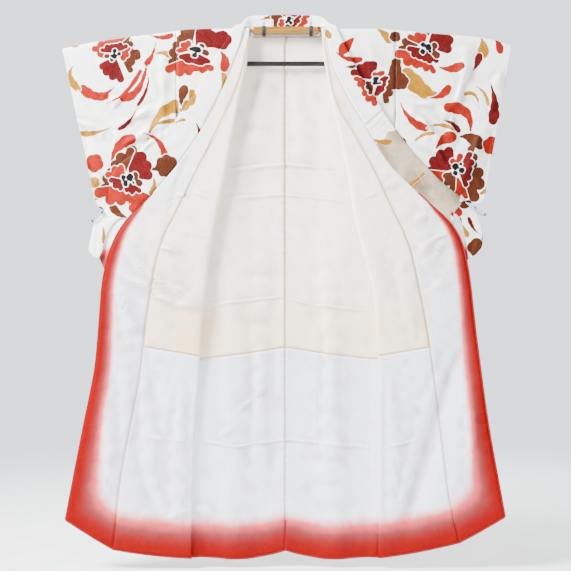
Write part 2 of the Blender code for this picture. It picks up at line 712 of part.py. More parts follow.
def make_fronts(side, looks, cloth):
    rows = FRONT_STATIONS
    upper_rows = tuple(s for s in rows if LINING_FROM < s < FRONT_LINING_SEAM)
    lower_rows = tuple(s for s in rows if s > FRONT_LINING_SEAM)

    def before_okumi(a, s):
        return outer_seam_share(a, s) - seam_step(a, s)

    def before_okumi_lining(a, s):
        return seam_share(a, s) - seam_step(a, s)

    def from_okumi(a, s):
        return outer_seam_share(a, s) + seam_step(a, s)

    def from_okumi_lining(a, s):
        return seam_share(a, s) + seam_step(a, s)

    grid = front_grid(side, rows, 0.0, before_okumi)
    make_sheet(f"front_{side}", grid, CLOTH, looks["silk"], cloth)
    lining_rows = upper_rows + (FRONT_LINING_SEAM - GAP / 2,)
    grid = front_grid(side, lining_rows, LINING_OFF, before_okumi_lining)
    make_sheet(f"body_lining_front_{side}", grid, LINING, looks["lining"], cloth)
    lining_rows = (FRONT_LINING_SEAM + GAP / 2,) + lower_rows
    grid = front_grid(side, lining_rows, LINING_OFF, before_okumi_lining)
    make_sheet(f"skirt_lining_front_{side}", grid, LINING, looks["skirt_lining"], cloth)
    okumi_rows = [s for s in rows if s > KENSAKI]
    grid = okumi_grid(side, okumi_rows, 0.0, from_okumi)
    make_sheet(f"okumi_{side}", grid, CLOTH, looks["silk"], cloth)
    okumi_rows = [s for s in rows if s > OKUMI_LINING_FROM]
    grid = okumi_grid(side, okumi_rows, LINING_OFF, from_okumi_lining)
    make_sheet(f"okumi_lining_{side}", grid, LINING, looks["skirt_lining"], cloth)


def make_back(side, looks, cloth):
    step = GAP / 2 / BACK_UPPER_LENGTH
    grid = back_grid(side, BACK_BEND_ROWS + BACK_UPPER_ROWS + (1.0,) + BACK_LOWER_ROWS, 0.0)
    make_sheet(f"back_{side}", grid, CLOTH, looks["silk"], cloth)
    grid = back_grid(side, BACK_UPPER_ROWS + (1.0 - step,), -LINING_OFF)
    make_sheet(f"body_lining_back_{side}", grid, LINING, looks["lining"], cloth)
    grid = back_grid(side, (1.0 + step,) + BACK_LOWER_ROWS, -LINING_OFF)
    make_sheet(f"skirt_lining_back_{side}", grid, LINING, looks["skirt_lining"], cloth)


def make_body(looks, cloth):
    for side in ("left", "right"):
        make_fronts(side, looks, cloth)
        make_back(side, looks, cloth)
        make_sheet(f"sleeve_{side}", sleeve_grid(side), CLOTH, looks["silk"], cloth, ring=True)


def make_collar(looks, cloth):
    make_sheet("collar", collar_grid(), COLLAR_CLOTH, looks["silk"], cloth)
    make_sheet("collar_cover", cover_grid(), COVER_CLOTH, looks["silk"], cloth)


def make_curve(name, places, radius, look, frame):
    data = bpy.data.curves.new(name, "CURVE")
    data.dimensions = "3D"
    data.bevel_depth = radius
    data.bevel_resolution = 2
    data.use_fill_caps = True
    spline = data.splines.new("POLY")
    spline.points.add(len(places) - 1)
    for point, place in zip(spline.points, places):
        point.co = (*place, 1.0)
    data.materials.append(look)
    frame.objects.link(bpy.data.objects.new(name, data))


def make_hanger(looks, frame):
    def pole_rod(bm):
        size = {"radius1": POLE_RADIUS, "radius2": POLE_RADIUS, "depth": 2 * POLE_HALF}
        bmesh.ops.create_cone(bm, cap_ends=True, segments=POLE_SIDES, **size)

    pole = make_solid("hanger_pole", looks["bamboo"], frame, pole_rod)
    pole.rotation_euler = (0.0, math.pi / 2, 0.0)
    under = CLOTH / 2 + GAP + ARM_RADIUS + ARM_SLACK
    for side, sign in (("left", -1.0), ("right", 1.0)):
        places = []
        for k in range(ARM_POINTS):
            out = POLE_HALF + GAP + (ARM_END[side] - POLE_HALF - GAP) * k / (ARM_POINTS - 1)
            places.append((sign * out, 0.0, float(shoulder_top(side, out)) - under))
        make_curve(f"hanger_arm_{side}", places, ARM_RADIUS, looks["bamboo"], frame)
        middle = sign * BAND_OUT[side]
        rings = []
        for x in (middle - BAND_WIDTH / 2, middle + BAND_WIDTH / 2):
            angles = [2 * math.pi * k / BAND_SIDES for k in range(BAND_SIDES)]
            rings.append([(x, BAND_RADIUS * math.cos(a), BAND_RADIUS * math.sin(a)) for a in angles])
        make_sheet(f"hanger_band_{side}", np.array(rings), BAND_CLOTH, looks["black"], frame, ring=True)
        foot = BAND_RADIUS + BAND_CLOTH / 2 + GAP
        places = [(middle, 0.0, foot), (middle, 0.0, WIRE_TOP)]
        make_curve(f"hanger_wire_{side}", places, WIRE_RADIUS, looks["black"], frame)
        top = float(shoulder_top(side, LINK_OUT)) - under - ARM_RADIUS - GAP
        foot = -OBI_BAR_DROP + OBI_BAR_HEIGHT / 2 + GAP
        places = [(sign * LINK_OUT, 0.0, top), (sign * LINK_OUT, 0.0, foot)]
        make_curve(f"hanger_link_{side}", places, LINK_RADIUS, looks["black"], frame)

    def bar(bm):
        bmesh.ops.create_cube(bm, size=1.0)
        bmesh.ops.scale(bm, vec=(2 * OBI_BAR_HALF, OBI_BAR_DEPTH, OBI_BAR_HEIGHT), verts=bm.verts)

    obi_bar = make_solid("hanger_obi_bar", looks["black"], frame, bar)
    obi_bar.location = (0.0, 0.0, -OBI_BAR_DROP)


def make_clips(looks, frame):
    """White clips that pin the collar to the sleeves' bottom corners, bent round from front to back."""
    for side, sign in (("left", -1.0), ("right", 1.0)):
        out, drop, lean = CLIP[side]
        front, back = -CLIP_FRONT, CLIP_BACK
        inside = [(0.0, front), (CLIP_SLOT, front), (CLIP_SLOT, back), (0.0, back)]
        outside = [(0.0, back + CLIP_WALL), (CLIP_LENGTH, back + CLIP_WALL)]
        outside += [(CLIP_LENGTH, front - CLIP_WALL), (0.0, front - CLIP_WALL)]
        outline = inside + outside
        data = bpy.data.curves.new(f"clip_{side}", "CURVE")
        data.dimensions = "2D"
        data.fill_mode = "BOTH"
        data.extrude = CLIP_WIDTH / 2
        spline = data.splines.new("POLY")
        spline.points.add(len(outline) - 1)
        for point, (x, y) in zip(spline.points, outline):
            point.co = (sign * x, y, 0.0, 1.0)
        spline.use_cyclic_u = True
        data.materials.append(looks["clip"])
        clip = bpy.data.objects.new(f"clip_{side}", data)
        clip.location = (sign * out, 0.0, -drop)
        clip.rotation_euler = (0.0, sign * math.radians(lean), 0.0)
        frame.objects.link(clip)


def main():
    clear_scene()
    looks = {name: material(name, colour, 0.6) for name, colour in COLOURS.items()}
    cloth = new_collection("komon kimono on a hanger")
    make_body(looks, cloth)
    make_collar(looks, cloth)
    make_hanger(looks, cloth)
    make_clips(looks, cloth)


main()
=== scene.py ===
"""Looks of the komon kimono that hangs open on a bamboo hanger. Metres, +Z up, the front faces -Y.

The cloth follows the same tables as the part's solids, with a finer grid, creases, print, seams and hems.
"""

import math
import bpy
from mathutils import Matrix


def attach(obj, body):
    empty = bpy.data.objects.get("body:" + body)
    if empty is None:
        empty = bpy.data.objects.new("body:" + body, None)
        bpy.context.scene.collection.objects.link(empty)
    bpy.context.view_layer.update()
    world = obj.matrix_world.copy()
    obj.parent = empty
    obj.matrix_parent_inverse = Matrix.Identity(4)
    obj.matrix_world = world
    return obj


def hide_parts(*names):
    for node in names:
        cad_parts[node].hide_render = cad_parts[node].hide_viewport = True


bl_info = {
    "name": "Komon kimono on a hanger",
    "version": (1, 0, 0),
    "blender": (4, 5, 0),
    "location": "3D View > Sidebar > Kimono",
    "description": "Builds a lined komon kimono with folded-back fronts on a bamboo hanger",
    "category": "Add Mesh",
}

import bmesh
import bpy
import numpy as np
from mathutils import Matrix, Vector

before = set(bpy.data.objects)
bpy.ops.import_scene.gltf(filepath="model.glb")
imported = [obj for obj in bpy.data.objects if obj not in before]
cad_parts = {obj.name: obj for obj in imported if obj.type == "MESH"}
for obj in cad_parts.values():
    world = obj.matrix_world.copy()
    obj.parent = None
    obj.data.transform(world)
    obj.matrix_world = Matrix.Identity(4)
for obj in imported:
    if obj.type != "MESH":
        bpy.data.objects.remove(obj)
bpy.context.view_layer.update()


def tenths(*rows):
    """Rows of metres from rows of tenths of a millimetre."""
    return tuple(tuple(value / 10000 for value in row) for row in rows)


def creases(*rows):
    """Creases in metres, from lines of (x, drop) in millimetres, then half width and height toward the viewer
    in tenths of a millimetre."""
    return tuple(
        (tuple((x / 1000, drop / 1000) for x, drop in line), width / 10000, height / 10000)
        for line, width, height in rows
    )


def placed(*rows):
    """Motifs in metres: x, drop and size are given in millimetres, and the rest stays as it is."""
    return tuple((x / 1000, drop / 1000, size / 1000, *rest) for x, drop, size, *rest in rows)


def leaves(*rows):
    """Curved leaves in metres: x and drop of the start, the middle and the thick end in millimetres, then the
    half width in tenths of a millimetre, and the colour."""
    made = []
    for *places, half, colour in rows:
        metres = [place / 1000 for place in places]
        made.append((*zip(metres[::2], metres[1::2]), half / 10000, colour))
    return tuple(made)


SIGN = {"left": -1.0, "right": 1.0}
FORWARD = (0.0, -1.0, 0.0)
BACKWARD = (0.0, 1.0, 0.0)

# Cloth
CLOTH = 0.0010
LINING = 0.0010
COLLAR_CLOTH = 0.0020
COVER_CLOTH = 0.0008
GAP = 0.0003
FACET_SLACK = 0.00005
LINING_OFF = CLOTH / 2 + LINING / 2 + GAP + FACET_SLACK
COVER_OFF = COLLAR_CLOTH / 2 + COVER_CLOTH / 2 + GAP + 2 * FACET_SLACK

# Shoulders and body
SHOULDER_TOP = 0.0062
HALF_DEPTH = 0.0120
SEAM_DEPTH = 0.0020
NECK_DEPTH = 0.0065
WAIST_DEPTH = 0.0080
ROLL_ANGLE = math.radians(10.0)
NECK_FROM = 0.0975
NECK_TO = 0.1035
NECK_CUT = 0.022
NECK_HALF = 0.09
NECK_FADE = 0.06
BACK_COLUMNS = (0.0, 0.045, 0.088, 0.0975, 0.1005, 0.1035, 0.125, 0.175, 0.225, 0.270, 0.298)
# Rows of the back: 0 at the upper edge, 1 where the linings meet, 2 at the hem
BACK_BEND_ROWS = (0.0, 0.0067, 0.0134)
BACK_UPPER_ROWS = (0.0205, 0.055, 0.11, 0.17, 0.24, 0.31, 0.38, 0.395, 0.43, 0.52, 0.64, 0.76, 0.88)
BACK_LOWER_ROWS = (1.17, 1.34, 1.51, 1.68, 1.84, 2.0)
BACK_UPPER_LENGTH = 0.93
BEND_EASE = 0.0025
BACK_WAVE = 0.0055
WAVE_FROM = 0.25
WAVE_FADE = 0.90
ARMHOLE = 0.23
SLIT_END = 0.36
SLIT_FADE = 0.06
SIDE_FADE = 0.05
WAIST_FROM = 0.205
WAIST_FADE = 0.055
BODY_SIDE = {"left": 0.3158, "right": 0.3188}
SLEEVE_SIDE = 0.0007
BEND_LENGTH = math.pi / 2 * HALF_DEPTH
TOP_TO_DROP = SHOULDER_TOP + BEND_LENGTH - HALF_DEPTH

# Each side's shoulder line, top of the cloth, in tenths of a millimetre: out, rise above SHOULDER_TOP
SHOULDER = {
    "left": tenths(
        (0, 0), (2500, 0), (3570, -125), (4700, -270), (5540, -388), (6500, -590),
    ),
    "right": tenths(
        (0, 0), (2800, 0), (3220, -40), (4500, -155), (6090, -330), (6580, -500),
    ),
}

# Side edge of the body: drop, how far in from the armhole seam
SIDE_IN = ((0.00, 0.0), (0.36, 0.0), (0.60, 0.016), (1.00, 0.034), (1.56, 0.037))

# Hem of the back: out, drop
BACK_HEM = ((0.00, 1.508), (0.06, 1.522), (0.14, 1.531), (0.28, 1.525))
# Where body lining meets skirt lining on the back: out, drop
BACK_LINING_SEAM = ((0.00, 0.919), (0.14, 0.938), (0.28, 0.952))
FRONT_LINING_SEAM = 0.958

# The folded front in rows from the shoulder to the hem, in tenths of a millimetre:
# cut length down the roll, then out and drop of the roll line, of the okumi seam and of the free edge
FRONT_ROWS = {
    "left": tenths(
        (0, 1036, -125, 1050, -125, 1090, -125), (1030, 1131, 1015, 1145, 1015, 1488, 957),
        (1900, 1317, 1856, 1485, 1827, 1827, 1740), (2940, 1508, 2900, 1943, 2828, 2308, 2697),
        (4240, 1740, 4176, 2523, 4002, 3103, 3886), (5620, 2030, 5539, 3161, 5307, 4089, 5017),
        (6480, 2187, 6380, 3567, 6148, 4785, 5800), (7900, 2335, 7772, 3857, 7453, 5249, 7250),
        (9000, 2448, 8845, 4031, 8555, 5351, 8323), (10200, 2535, 10034, 4176, 9802, 5464, 9570),
        (12000, 2668, 11832, 4495, 11571, 5771, 11223), (13800, 2712, 13630, 4805, 13311, 6070, 12789),
        (15500, 2726, 15254, 4959, 14877, 6322, 14123),
    ),
    "right": tenths(
        (0, 1036, -125, 1050, -125, 1090, -125), (1030, 1146, 957, 1160, 957, 1320, 928),
        (1900, 1305, 1856, 1340, 1850, 1682, 1740), (2940, 1537, 2900, 1885, 2842, 2277, 2755),
        (4240, 1798, 4176, 2552, 4031, 3031, 3930), (5620, 2030, 5539, 3176, 5336, 4176, 5046),
        (6480, 2233, 6351, 3538, 6119, 4959, 5887), (7900, 2581, 7772, 3877, 7511, 5307, 7279),
        (9000, 2654, 8845, 4089, 8584, 5438, 8352), (10200, 2726, 10034, 4275, 9802, 5597, 9570),
        (12000, 2726, 11832, 4495, 11571, 5815, 11223), (13800, 2712, 13630, 4713, 13311, 6081, 12789),
        (15500, 2697, 15240, 5017, 14674, 6308, 14036),
    ),
}
FRONT_STATIONS = (
    0.0, 0.006, 0.0125, 0.02, 0.035, 0.06, 0.103, 0.19, 0.255, 0.294, 0.36, 0.424, 0.5, 0.562, 0.62,
    0.67, 0.73, 0.80, 0.88, FRONT_LINING_SEAM, 1.03, 1.11, 1.20, 1.29, 1.38, 1.47, 1.55,
)
UNDER_SHARES = (1.0, 0.82, 0.5, 0.2)
ROLL_SHARES = (0.0, 0.25, 0.5, 0.75, 1.0)
TURNED_SHARES = (0.11, 0.32, 0.54, 0.77)
OKUMI_SHARES = (0.0, 0.33, 0.66, 1.0)
ROLL_START = 0.12
LINING_FROM = 0.03
OKUMI_LINING_FROM = 0.05
HEM_SAG = 0.012
HEM_SAG_FROM = 1.20
HEM_SAG_FADE = 0.35
LEAST_SEAM_SHARE = 0.14
# The printed okumi starts as a point on the front's free edge and widens below it
KENSAKI = 0.25
KENSAKI_SHARE = 0.985
KENSAKI_FADE = 0.15
# Radius of the fold at the roll line, in tenths of a millimetre: cut length down the roll, radius
ROLL_RADIUS = tenths(
    (0, 12), (1000, 50), (2000, 50), (3300, 72), (8000, 72), (10200, 32), (15600, 32),
)
# Largest folds of the turned-back fronts: out and drop of both ends, half width, height toward the viewer
FOLDS = {
    "left": (
        (0.415, 0.92, 0.395, 1.28, 0.034, -0.010),
        (0.395, 1.28, 0.345, 1.45, 0.034, -0.010),
        (0.520, 1.06, 0.512, 1.36, 0.030, 0.009),
        (0.458, 0.62, 0.300, 0.765, 0.022, 0.005),
        (0.484, 0.75, 0.425, 0.900, 0.020, 0.005),
    ),
    "right": (
        (0.505, 0.92, 0.450, 1.05, 0.034, -0.012),
        (0.450, 1.05, 0.345, 1.46, 0.036, -0.012),
        (0.545, 1.05, 0.530, 1.36, 0.030, 0.008),
        (0.389, 0.638, 0.461, 0.589, 0.020, 0.005),
        (0.397, 0.760, 0.470, 0.720, 0.020, 0.005),
    ),
}
FOLD_END_HEIGHT = 0.4
FOLD_FADE = 0.05
EDGE_SWING = 0.016
SWING_FROM = 0.90
SWING_FADE = 0.65

# Sleeve
SLEEVE_LENGTH = 0.490
SLEEVE_SHRINK = 0.975
CUFF = 0.23
CORNER_RADIUS = 0.03
SLEEVE_FORWARD = 0.01425
SLEEVE_TUCKED = 0.00425
SLEEVE_PINCH = 0.0010
TUCK_FADE = 0.045
TUCK_SHARE = 0.25
TUCK_SHARE_FADE = 0.30
CUFF_SEAM_SHARE = 0.88
CUFF_SEAM_FADE = 0.11
CUFF_FADE = 0.05
CORNER_FLAT = 0.05
CORNER_FADE = 0.06
SLEEVE_WIDTH = 0.33
BOTTOM_FLAT = 0.85
BOTTOM_FADE = 0.03
LEAN_START = 0.3
LEAN_FADE = 0.08
SLEEVE_SHARES = (0.0, 0.08, 0.2, 0.36, 0.56, 0.76, 0.87, 0.93, 0.97, 1.0)
SLEEVE_STEPS = (0.004, 0.0095, 0.019, 0.09, 0.17, 0.228, 0.252, 0.276, 0.35, 0.42, 0.465, 0.486)
SLEEVE = {
    "left": {"cuff_out": 0.6467, "cuff_lean": 11.7, "inner_lean": 15.0},
    "right": {"cuff_out": 0.6554, "cuff_lean": 9.6, "inner_lean": 14.0},
}

# Free edge of the turned-back collar, in tenths of a millimetre: cut length from the shoulder, out, drop and
# depth
COLLAR_FREE = {
    "left": tenths(
        (0, 1370, -145, 35), (60, 1420, -118, 100), (125, 1470, -70, 142), (200, 1530, 20, 172),
        (350, 1620, 180, 185), (600, 1750, 400, 205), (1050, 1972, 725, 215), (1900, 2407, 1537, 218),
        (2940, 2900, 2262, 218), (4240, 3750, 3170, 218), (5620, 4850, 3950, 210), (6200, 5060, 4350, 175),
    ),
    "right": tenths(
        (0, 1370, -145, 35), (60, 1410, -118, 100), (125, 1450, -70, 142), (200, 1490, 20, 172),
        (350, 1560, 180, 185), (600, 1650, 380, 205), (1050, 1800, 680, 215), (1900, 2175, 1392, 218),
        (2940, 2784, 2320, 218), (4240, 3640, 3480, 218), (5620, 4600, 4480, 210), (6200, 4950, 4750, 175),
    ),
}
# Its pinned and hanging end, in the same unit: out, drop and depth of the seam, then of the free edge
COLLAR_END = {
    "left": tenths(
        (4600, 5400, 220, 5120, 4900, 110), (4785, 5452, 195, 5278, 5249, 45),
        (5017, 5655, 150, 5539, 5597, 50), (5220, 6061, 140, 5626, 6003, 80),
        (5307, 6409, 130, 5684, 6337, 100), (5410, 6620, 130, 5560, 6540, 110),
    ),
    "right": tenths(
        (4760, 5250, 220, 5250, 5030, 110), (4930, 5336, 195, 5452, 5180, 45),
        (5104, 5655, 150, 5655, 5539, 50), (5191, 6061, 140, 5713, 5887, 80),
        (5249, 6409, 130, 5684, 6235, 100), (5278, 6641, 130, 5480, 6490, 110),
    ),
}
# Collar round the back neck, in the same unit, from the side of the neck to the centre: out of the seam, out
# of the free edge, how far the free edge lies behind the pole, its rise above the pole
NECK_ROWS = tenths(
    (1020, 1280, 40, 190), (1000, 1190, 110, 290), (980, 1110, 180, 390), (940, 1010, 235, 450),
    (700, 740, 260, 480), (350, 370, 275, 500), (0, 0, 282, 505),
)
NECK_SEAM_GAP = 0.0018
NECK_TURN_FROM = 0.08
NECK_TURN_FADE = 0.01
COLLAR_SHARES = (0.0, 0.33, 0.66, 1.0)
COLLAR_SEAM_GAP = 0.0012
# The cover reaches this far down each front, and near the neck it is looser and narrower
COVER_END = 0.300
COVER_NECK_OUT = 0.15
COVER_NECK_FADE = 0.02
COVER_NECK_OFF = 0.0016
COVER_SET_IN = 0.05
COVER_NECK_SET_IN = 0.55
COVER_NECK_BACK = 0.7

# Hanger
POLE_RADIUS = 0.0138
POLE_HALF = 0.0935
POLE_JOINTS = (-0.062, 0.020, 0.081)
JOINT_RIDGE = 0.0010
JOINT_RIDGE_HALF = 0.0022
JOINT_GROOVE = 0.0009
JOINT_GROOVE_HALF = 0.0012
JOINT_GROOVE_AWAY = 0.0040
POLE_STEPS = 120
POLE_SIDES = 40
POLE_END = 0.002
POLE_END_SHRINK = 0.08
BAND_OUT = {"left": 0.0624, "right": 0.0740}
BAND_RADIUS = 0.0148
BAND_WIDTH = 0.011
BAND_TURNS = 5
BAND_STEPS = 28
CORD_HALF_WIDTH = 0.00112
CORD_HALF_HEIGHT = 0.00055
CORD_END_RADIUS = 0.0007
CORD_END = (0.0042, -0.001, 0.0105)
OBI_BAR_DROP = 0.0953
OBI_BAR_HALF = 0.185
OBI_BAR_HEIGHT = 0.0135
OBI_BAR_DEPTH = 0.0090
OBI_BAR_BEVEL = 0.002
KNOB_OUT = 0.004
# Half of the knob's outline: radius, rise above the bar's foot
KNOB = ((0.0, 0.0), (0.0022, 0.0), (0.0026, -0.0014), (0.0042, -0.0030), (0.0052, -0.0058), (0.0040, -0.0088),
        (0.0, -0.0102))

# Clips: out and drop of the jaws' open end, lean below level
CLIP = {"left": (0.524, 0.5225, 40.0), "right": (0.540, 0.508, 34.0)}
CLIP_LENGTH = 0.046
CLIP_BACK = 0.0022
CLIP_WALL = 0.0018
CLIP_WIDTH = 0.009
CLIP_FACE = -0.0128
CLIP_PIN = 0.16
COIL_RADIUS = 0.0036
COIL_POINTS = 110
COIL_WIRE = 0.00065
# Turns of the wire, whose ends lie on the jaws
COIL_TURNS = (-0.6, 4.1)
# Jaws: length of the front and the back one over the clip's, width over its width, where along them the round
# end starts, the neck and the ribs are, and heights of ribs and arch
JAW_REACH = (1.02, 0.96)
JAW_WIDTH = 1.15
JAW_ROUND = 0.86
JAW_NECK = 0.38
JAW_NECK_DEPTH = 0.30
JAW_NECK_HALF = 0.09
JAW_RIBS = (0.52, 0.84)
RIB_HEIGHT = 0.0005
JAW_ARCH = 0.0009
EAR_RADIUS = 0.0048
PIN_RADIUS = 0.0022


def smooth(x):
    """0 below 0, 1 above 1, and an even rise between."""
    x = np.clip(x, 0.0, 1.0)
    return x * x * (3.0 - 2.0 * x)


def through(x, y, at):
    """Smooth curves through rows of values y at x, with no bump that the rows lack."""
    column = (slice(None),) + (None,) * (y.ndim - 1)
    steps = np.diff(x)[column]
    slopes = np.diff(y, axis=0) / steps
    before, after = slopes[:-1], slopes[1:]
    same = before * after > 0.0
    mean = steps[1:] / np.where(same, before, 1.0) + steps[:-1] / np.where(same, after, 1.0)
    mean = np.where(same, (steps[1:] + steps[:-1]) / mean, 0.0)
    slope = np.concatenate([slopes[:1], mean, slopes[-1:]])
    i = np.clip(np.searchsorted(x, at) - 1, 0, len(x) - 2)
    width = x[i + 1] - x[i]
    u = (at - x[i]) / width
    if y.ndim > 1:
        width, u = width[column], u[column]
    rise = y[i + 1] - y[i]
    a = slope[i] * width - rise
    b = rise - slope[i + 1] * width
    return y[i] + rise * u + u * (1.0 - u) * (a * (1.0 - u) + b * u)


def curve(points, at, column=1):
    """Smooth curve through a table's first column and one other."""
    table = np.array(points, float)
    at = np.clip(np.asarray(at, float), table[0, 0], table[-1, 0])
    return through(table[:, 0], table[:, column], at)


def shoulder_top(side, out):
    return SHOULDER_TOP + curve(SHOULDER[side], out)


def side_out(side, drop):
    """Where the body's side edge is."""
    return BODY_SIDE[side] - curve(SIDE_IN, drop)


def half_depth(side, out, drop):
    """Half the distance from the front's cloth to the back's, which narrows at the side seam."""
    near_side = 1.0 - smooth((side_out(side, drop) - out) / SIDE_FADE)
    pinch = near_side * smooth((drop - SLIT_END) / SLIT_FADE)
    depth = HALF_DEPTH + (WAIST_DEPTH - HALF_DEPTH) * smooth((drop - WAIST_FROM) / WAIST_FADE)
    return depth + (SEAM_DEPTH - depth) * pinch


def hung_point(side, out, top, along, depth, off, facing):
    """A point of cloth that goes over the shoulder line and hangs.

    top is the height of the shoulder line that it hangs from, along is how far the cloth has gone from
    there, and off is how far the point lies outside the cloth's own surface.
    """
    angle = np.clip(along / HALF_DEPTH, 0.0, math.pi / 2)
    below = np.maximum(along - BEND_LENGTH, 0.0)
    y = facing * (depth + off) * np.sin(angle)
    z = top - HALF_DEPTH + (HALF_DEPTH + off) * np.cos(angle) - below
    x = out if side == "right" else -out
    return np.array([x, y, z])


def drape_point(side, out, drop, depth, off, facing):
    """The same for a place that the tables give by its drop below the pole."""
    top = shoulder_top(side, out)
    return hung_point(side, out, top, top - SHOULDER_TOP + TOP_TO_DROP + drop, depth, off, facing)


def front_row(side, s):
    """Where a row of the folded front bends, its okumi seam and its free edge: (out, drop) of each."""
    rows = FRONT_ROWS[side]
    values = [curve(rows, s, k) for k in range(1, len(rows[0]))]
    bend, seam, edge = [np.array(values[k:k + 2]) for k in (0, 2, 4)]
    bend[0] += curve(ROLL_RADIUS, s)
    least = bend + (edge - bend) * LEAST_SEAM_SHARE
    if seam[0] < least[0]:
        seam = least
    return bend, seam, edge


def seam_share(side, s):
    """How far across the turned-back part the okumi's inner edge is, from 0 at the roll to 1."""
    bend, seam, edge = front_row(side, s)
    first = np.linalg.norm(seam - bend)
    return first / (first + np.linalg.norm(edge - seam))


def seam_step(side, s):
    """Half a seam's gap as a share of the turned-back part's width."""
    bend, seam, edge = front_row(side, s)
    return GAP / 2 / (np.linalg.norm(seam - bend) + np.linalg.norm(edge - seam))


def outer_seam_share(side, s):
    """The same for the printed okumi, which starts as a point at the kensaki."""
    blend = smooth((s - KENSAKI) / KENSAKI_FADE)
    return KENSAKI_SHARE + (seam_share(side, s) - KENSAKI_SHARE) * blend


def fold_height(side, out, drop):
    """Height of the large folds over a place on the turned-back front."""
    height = 0.0
    for out_a, drop_a, out_b, drop_b, width, size in FOLDS[side]:
        dx, dz = out_b - out_a, drop_b - drop_a
        along = np.clip(((out - out_a) * dx + (drop - drop_a) * dz) / (dx * dx + dz * dz), 0.0, 1.0)
        away = np.hypot(out - out_a - along * dx, drop - drop_a - along * dz)
        shape = FOLD_END_HEIGHT + (1.0 - FOLD_END_HEIGHT) * np.sin(math.pi * along)
        height = height + size * shape * np.exp(-((away / width) ** 2))
    return height


def turned_point(side, s, share, off):
    """A point on the turned-back part of a front: share 0 at the roll line, 1 at the free edge."""
    start, seam, edge = front_row(side, s)
    radius = curve(ROLL_RADIUS, s)
    split = seam_share(side, s)
    if share < split:
        place = start + (seam - start) * (share / split)
    else:
        place = seam + (edge - seam) * ((share - split) / (1.0 - split))
    out, drop = place
    drop = drop + HEM_SAG * 4.0 * share * (1.0 - share) * smooth((s - HEM_SAG_FROM) / HEM_SAG_FADE)
    depth = half_depth(side, start[0], start[1])
    width = np.linalg.norm(edge - start)
    lift = fold_height(side, out, drop) * smooth(share * width / FOLD_FADE)
    lift += EDGE_SWING * smooth((s - SWING_FROM) / SWING_FADE) * share ** 1.5
    return drape_point(side, out, drop, depth, 2.0 * radius + off + lift, -1.0)


def front_point(side, s, column, share, off):
    """A point of a front: column is "under" (not turned, share 1 at the side), "roll" or "turned"."""
    start = front_row(side, s)[0]
    radius = curve(ROLL_RADIUS, s)
    if column == "turned":
        return turned_point(side, s, share, off)
    if column == "roll":
        angle = math.pi * share
        out = start[0] - (radius + off) * math.sin(angle)
        depth = half_depth(side, start[0], start[1])
        return drape_point(side, out, start[1], depth, radius - (radius + off) * math.cos(angle), -1.0)
    reach = BODY_SIDE[side] - start[0]
    side_drop = start[1] - math.tan(ROLL_ANGLE) * reach * smooth(s / ROLL_START)
    side_place = side_out(side, side_drop)
    out = start[0] + (side_place - start[0]) * share
    drop = start[1] + (side_drop - start[1]) * share
    if s < ROLL_START:
        drop -= (shoulder_top(side, out) - SHOULDER_TOP) * share
    depth = half_depth(side, out, drop)
    return drape_point(side, out, drop, depth, -off, -1.0)


def front_grid(side, rows, off, last_share):
    """Rows of points across a whole front, from its side edge to the okumi seam."""
    columns = [("under", x) for x in UNDER_SHARES]
    columns += [("roll", x) for x in ROLL_SHARES]
    grid = []
    for s in rows:
        last = last_share(side, s)
        inner = seam_share(side, s)
        turned = [("turned", inner * x) for x in TURNED_SHARES] + [("turned", last)]
        grid.append([front_point(side, s, kind, share, off) for kind, share in columns + turned])
    return np.array(grid)


def okumi_grid(side, rows, off, first_share):
    grid = []
    for s in rows:
        first = first_share(side, s)
        grid.append([turned_point(side, s, first + (1.0 - first) * x, off) for x in OKUMI_SHARES])
    return np.array(grid)


def back_wave(out, drop, side):
    """Soft folds of the back, none at the centre seam or the side seams."""
    reach = side_out(side, drop)
    inside = np.clip(out / reach, 0.0, 1.0)
    size = BACK_WAVE * smooth((drop - WAVE_FROM) / WAVE_FADE)
    return size * np.sin(3.0 * math.pi * inside) * np.sin(math.pi * inside)


def back_point(side, out, drop, off):
    depth = half_depth(side, out, drop) + NECK_DEPTH * (1.0 - smooth((out - NECK_HALF) / NECK_FADE))
    return drape_point(side, out, drop, depth + back_wave(out, drop, side), off, 1.0)


def neck_cut(out):
    """How far below the shoulder line the back's upper edge is, which is more behind the neck."""
    return NECK_CUT * (1.0 - smooth((out - NECK_FROM) / (NECK_TO - NECK_FROM)))


def back_drop(out, row):
    """Drop of a row of the back: 0 at the upper edge, 1 where the linings meet, 2 at the hem."""
    seam = curve(BACK_LINING_SEAM, out)
    if row > 1.0:
        return seam + (curve(BACK_HEM, out) - seam) * (row - 1.0)
    cut = neck_cut(out) + 2 * GAP
    knee = max(BEND_LENGTH, cut + BEND_EASE)
    length = seam + TOP_TO_DROP
    along = row * length
    if along < BEND_LENGTH:
        return cut + (knee - cut) * along / BEND_LENGTH - TOP_TO_DROP
    return knee + (length - knee) * (along - BEND_LENGTH) / (length - BEND_LENGTH) - TOP_TO_DROP


def back_grid(side, rows, off):
    """Rows of points across half of the back, from the centre seam to the side edge."""
    grid = []
    for row in rows:
        points = []
        for out in BACK_COLUMNS + (BODY_SIDE[side],):
            drop = back_drop(out, row)
            out = max(GAP / 2, out * side_out(side, drop) / BODY_SIDE[side])
            points.append(back_point(side, out, drop, off))
        grid.append(points)
    return np.array(grid)


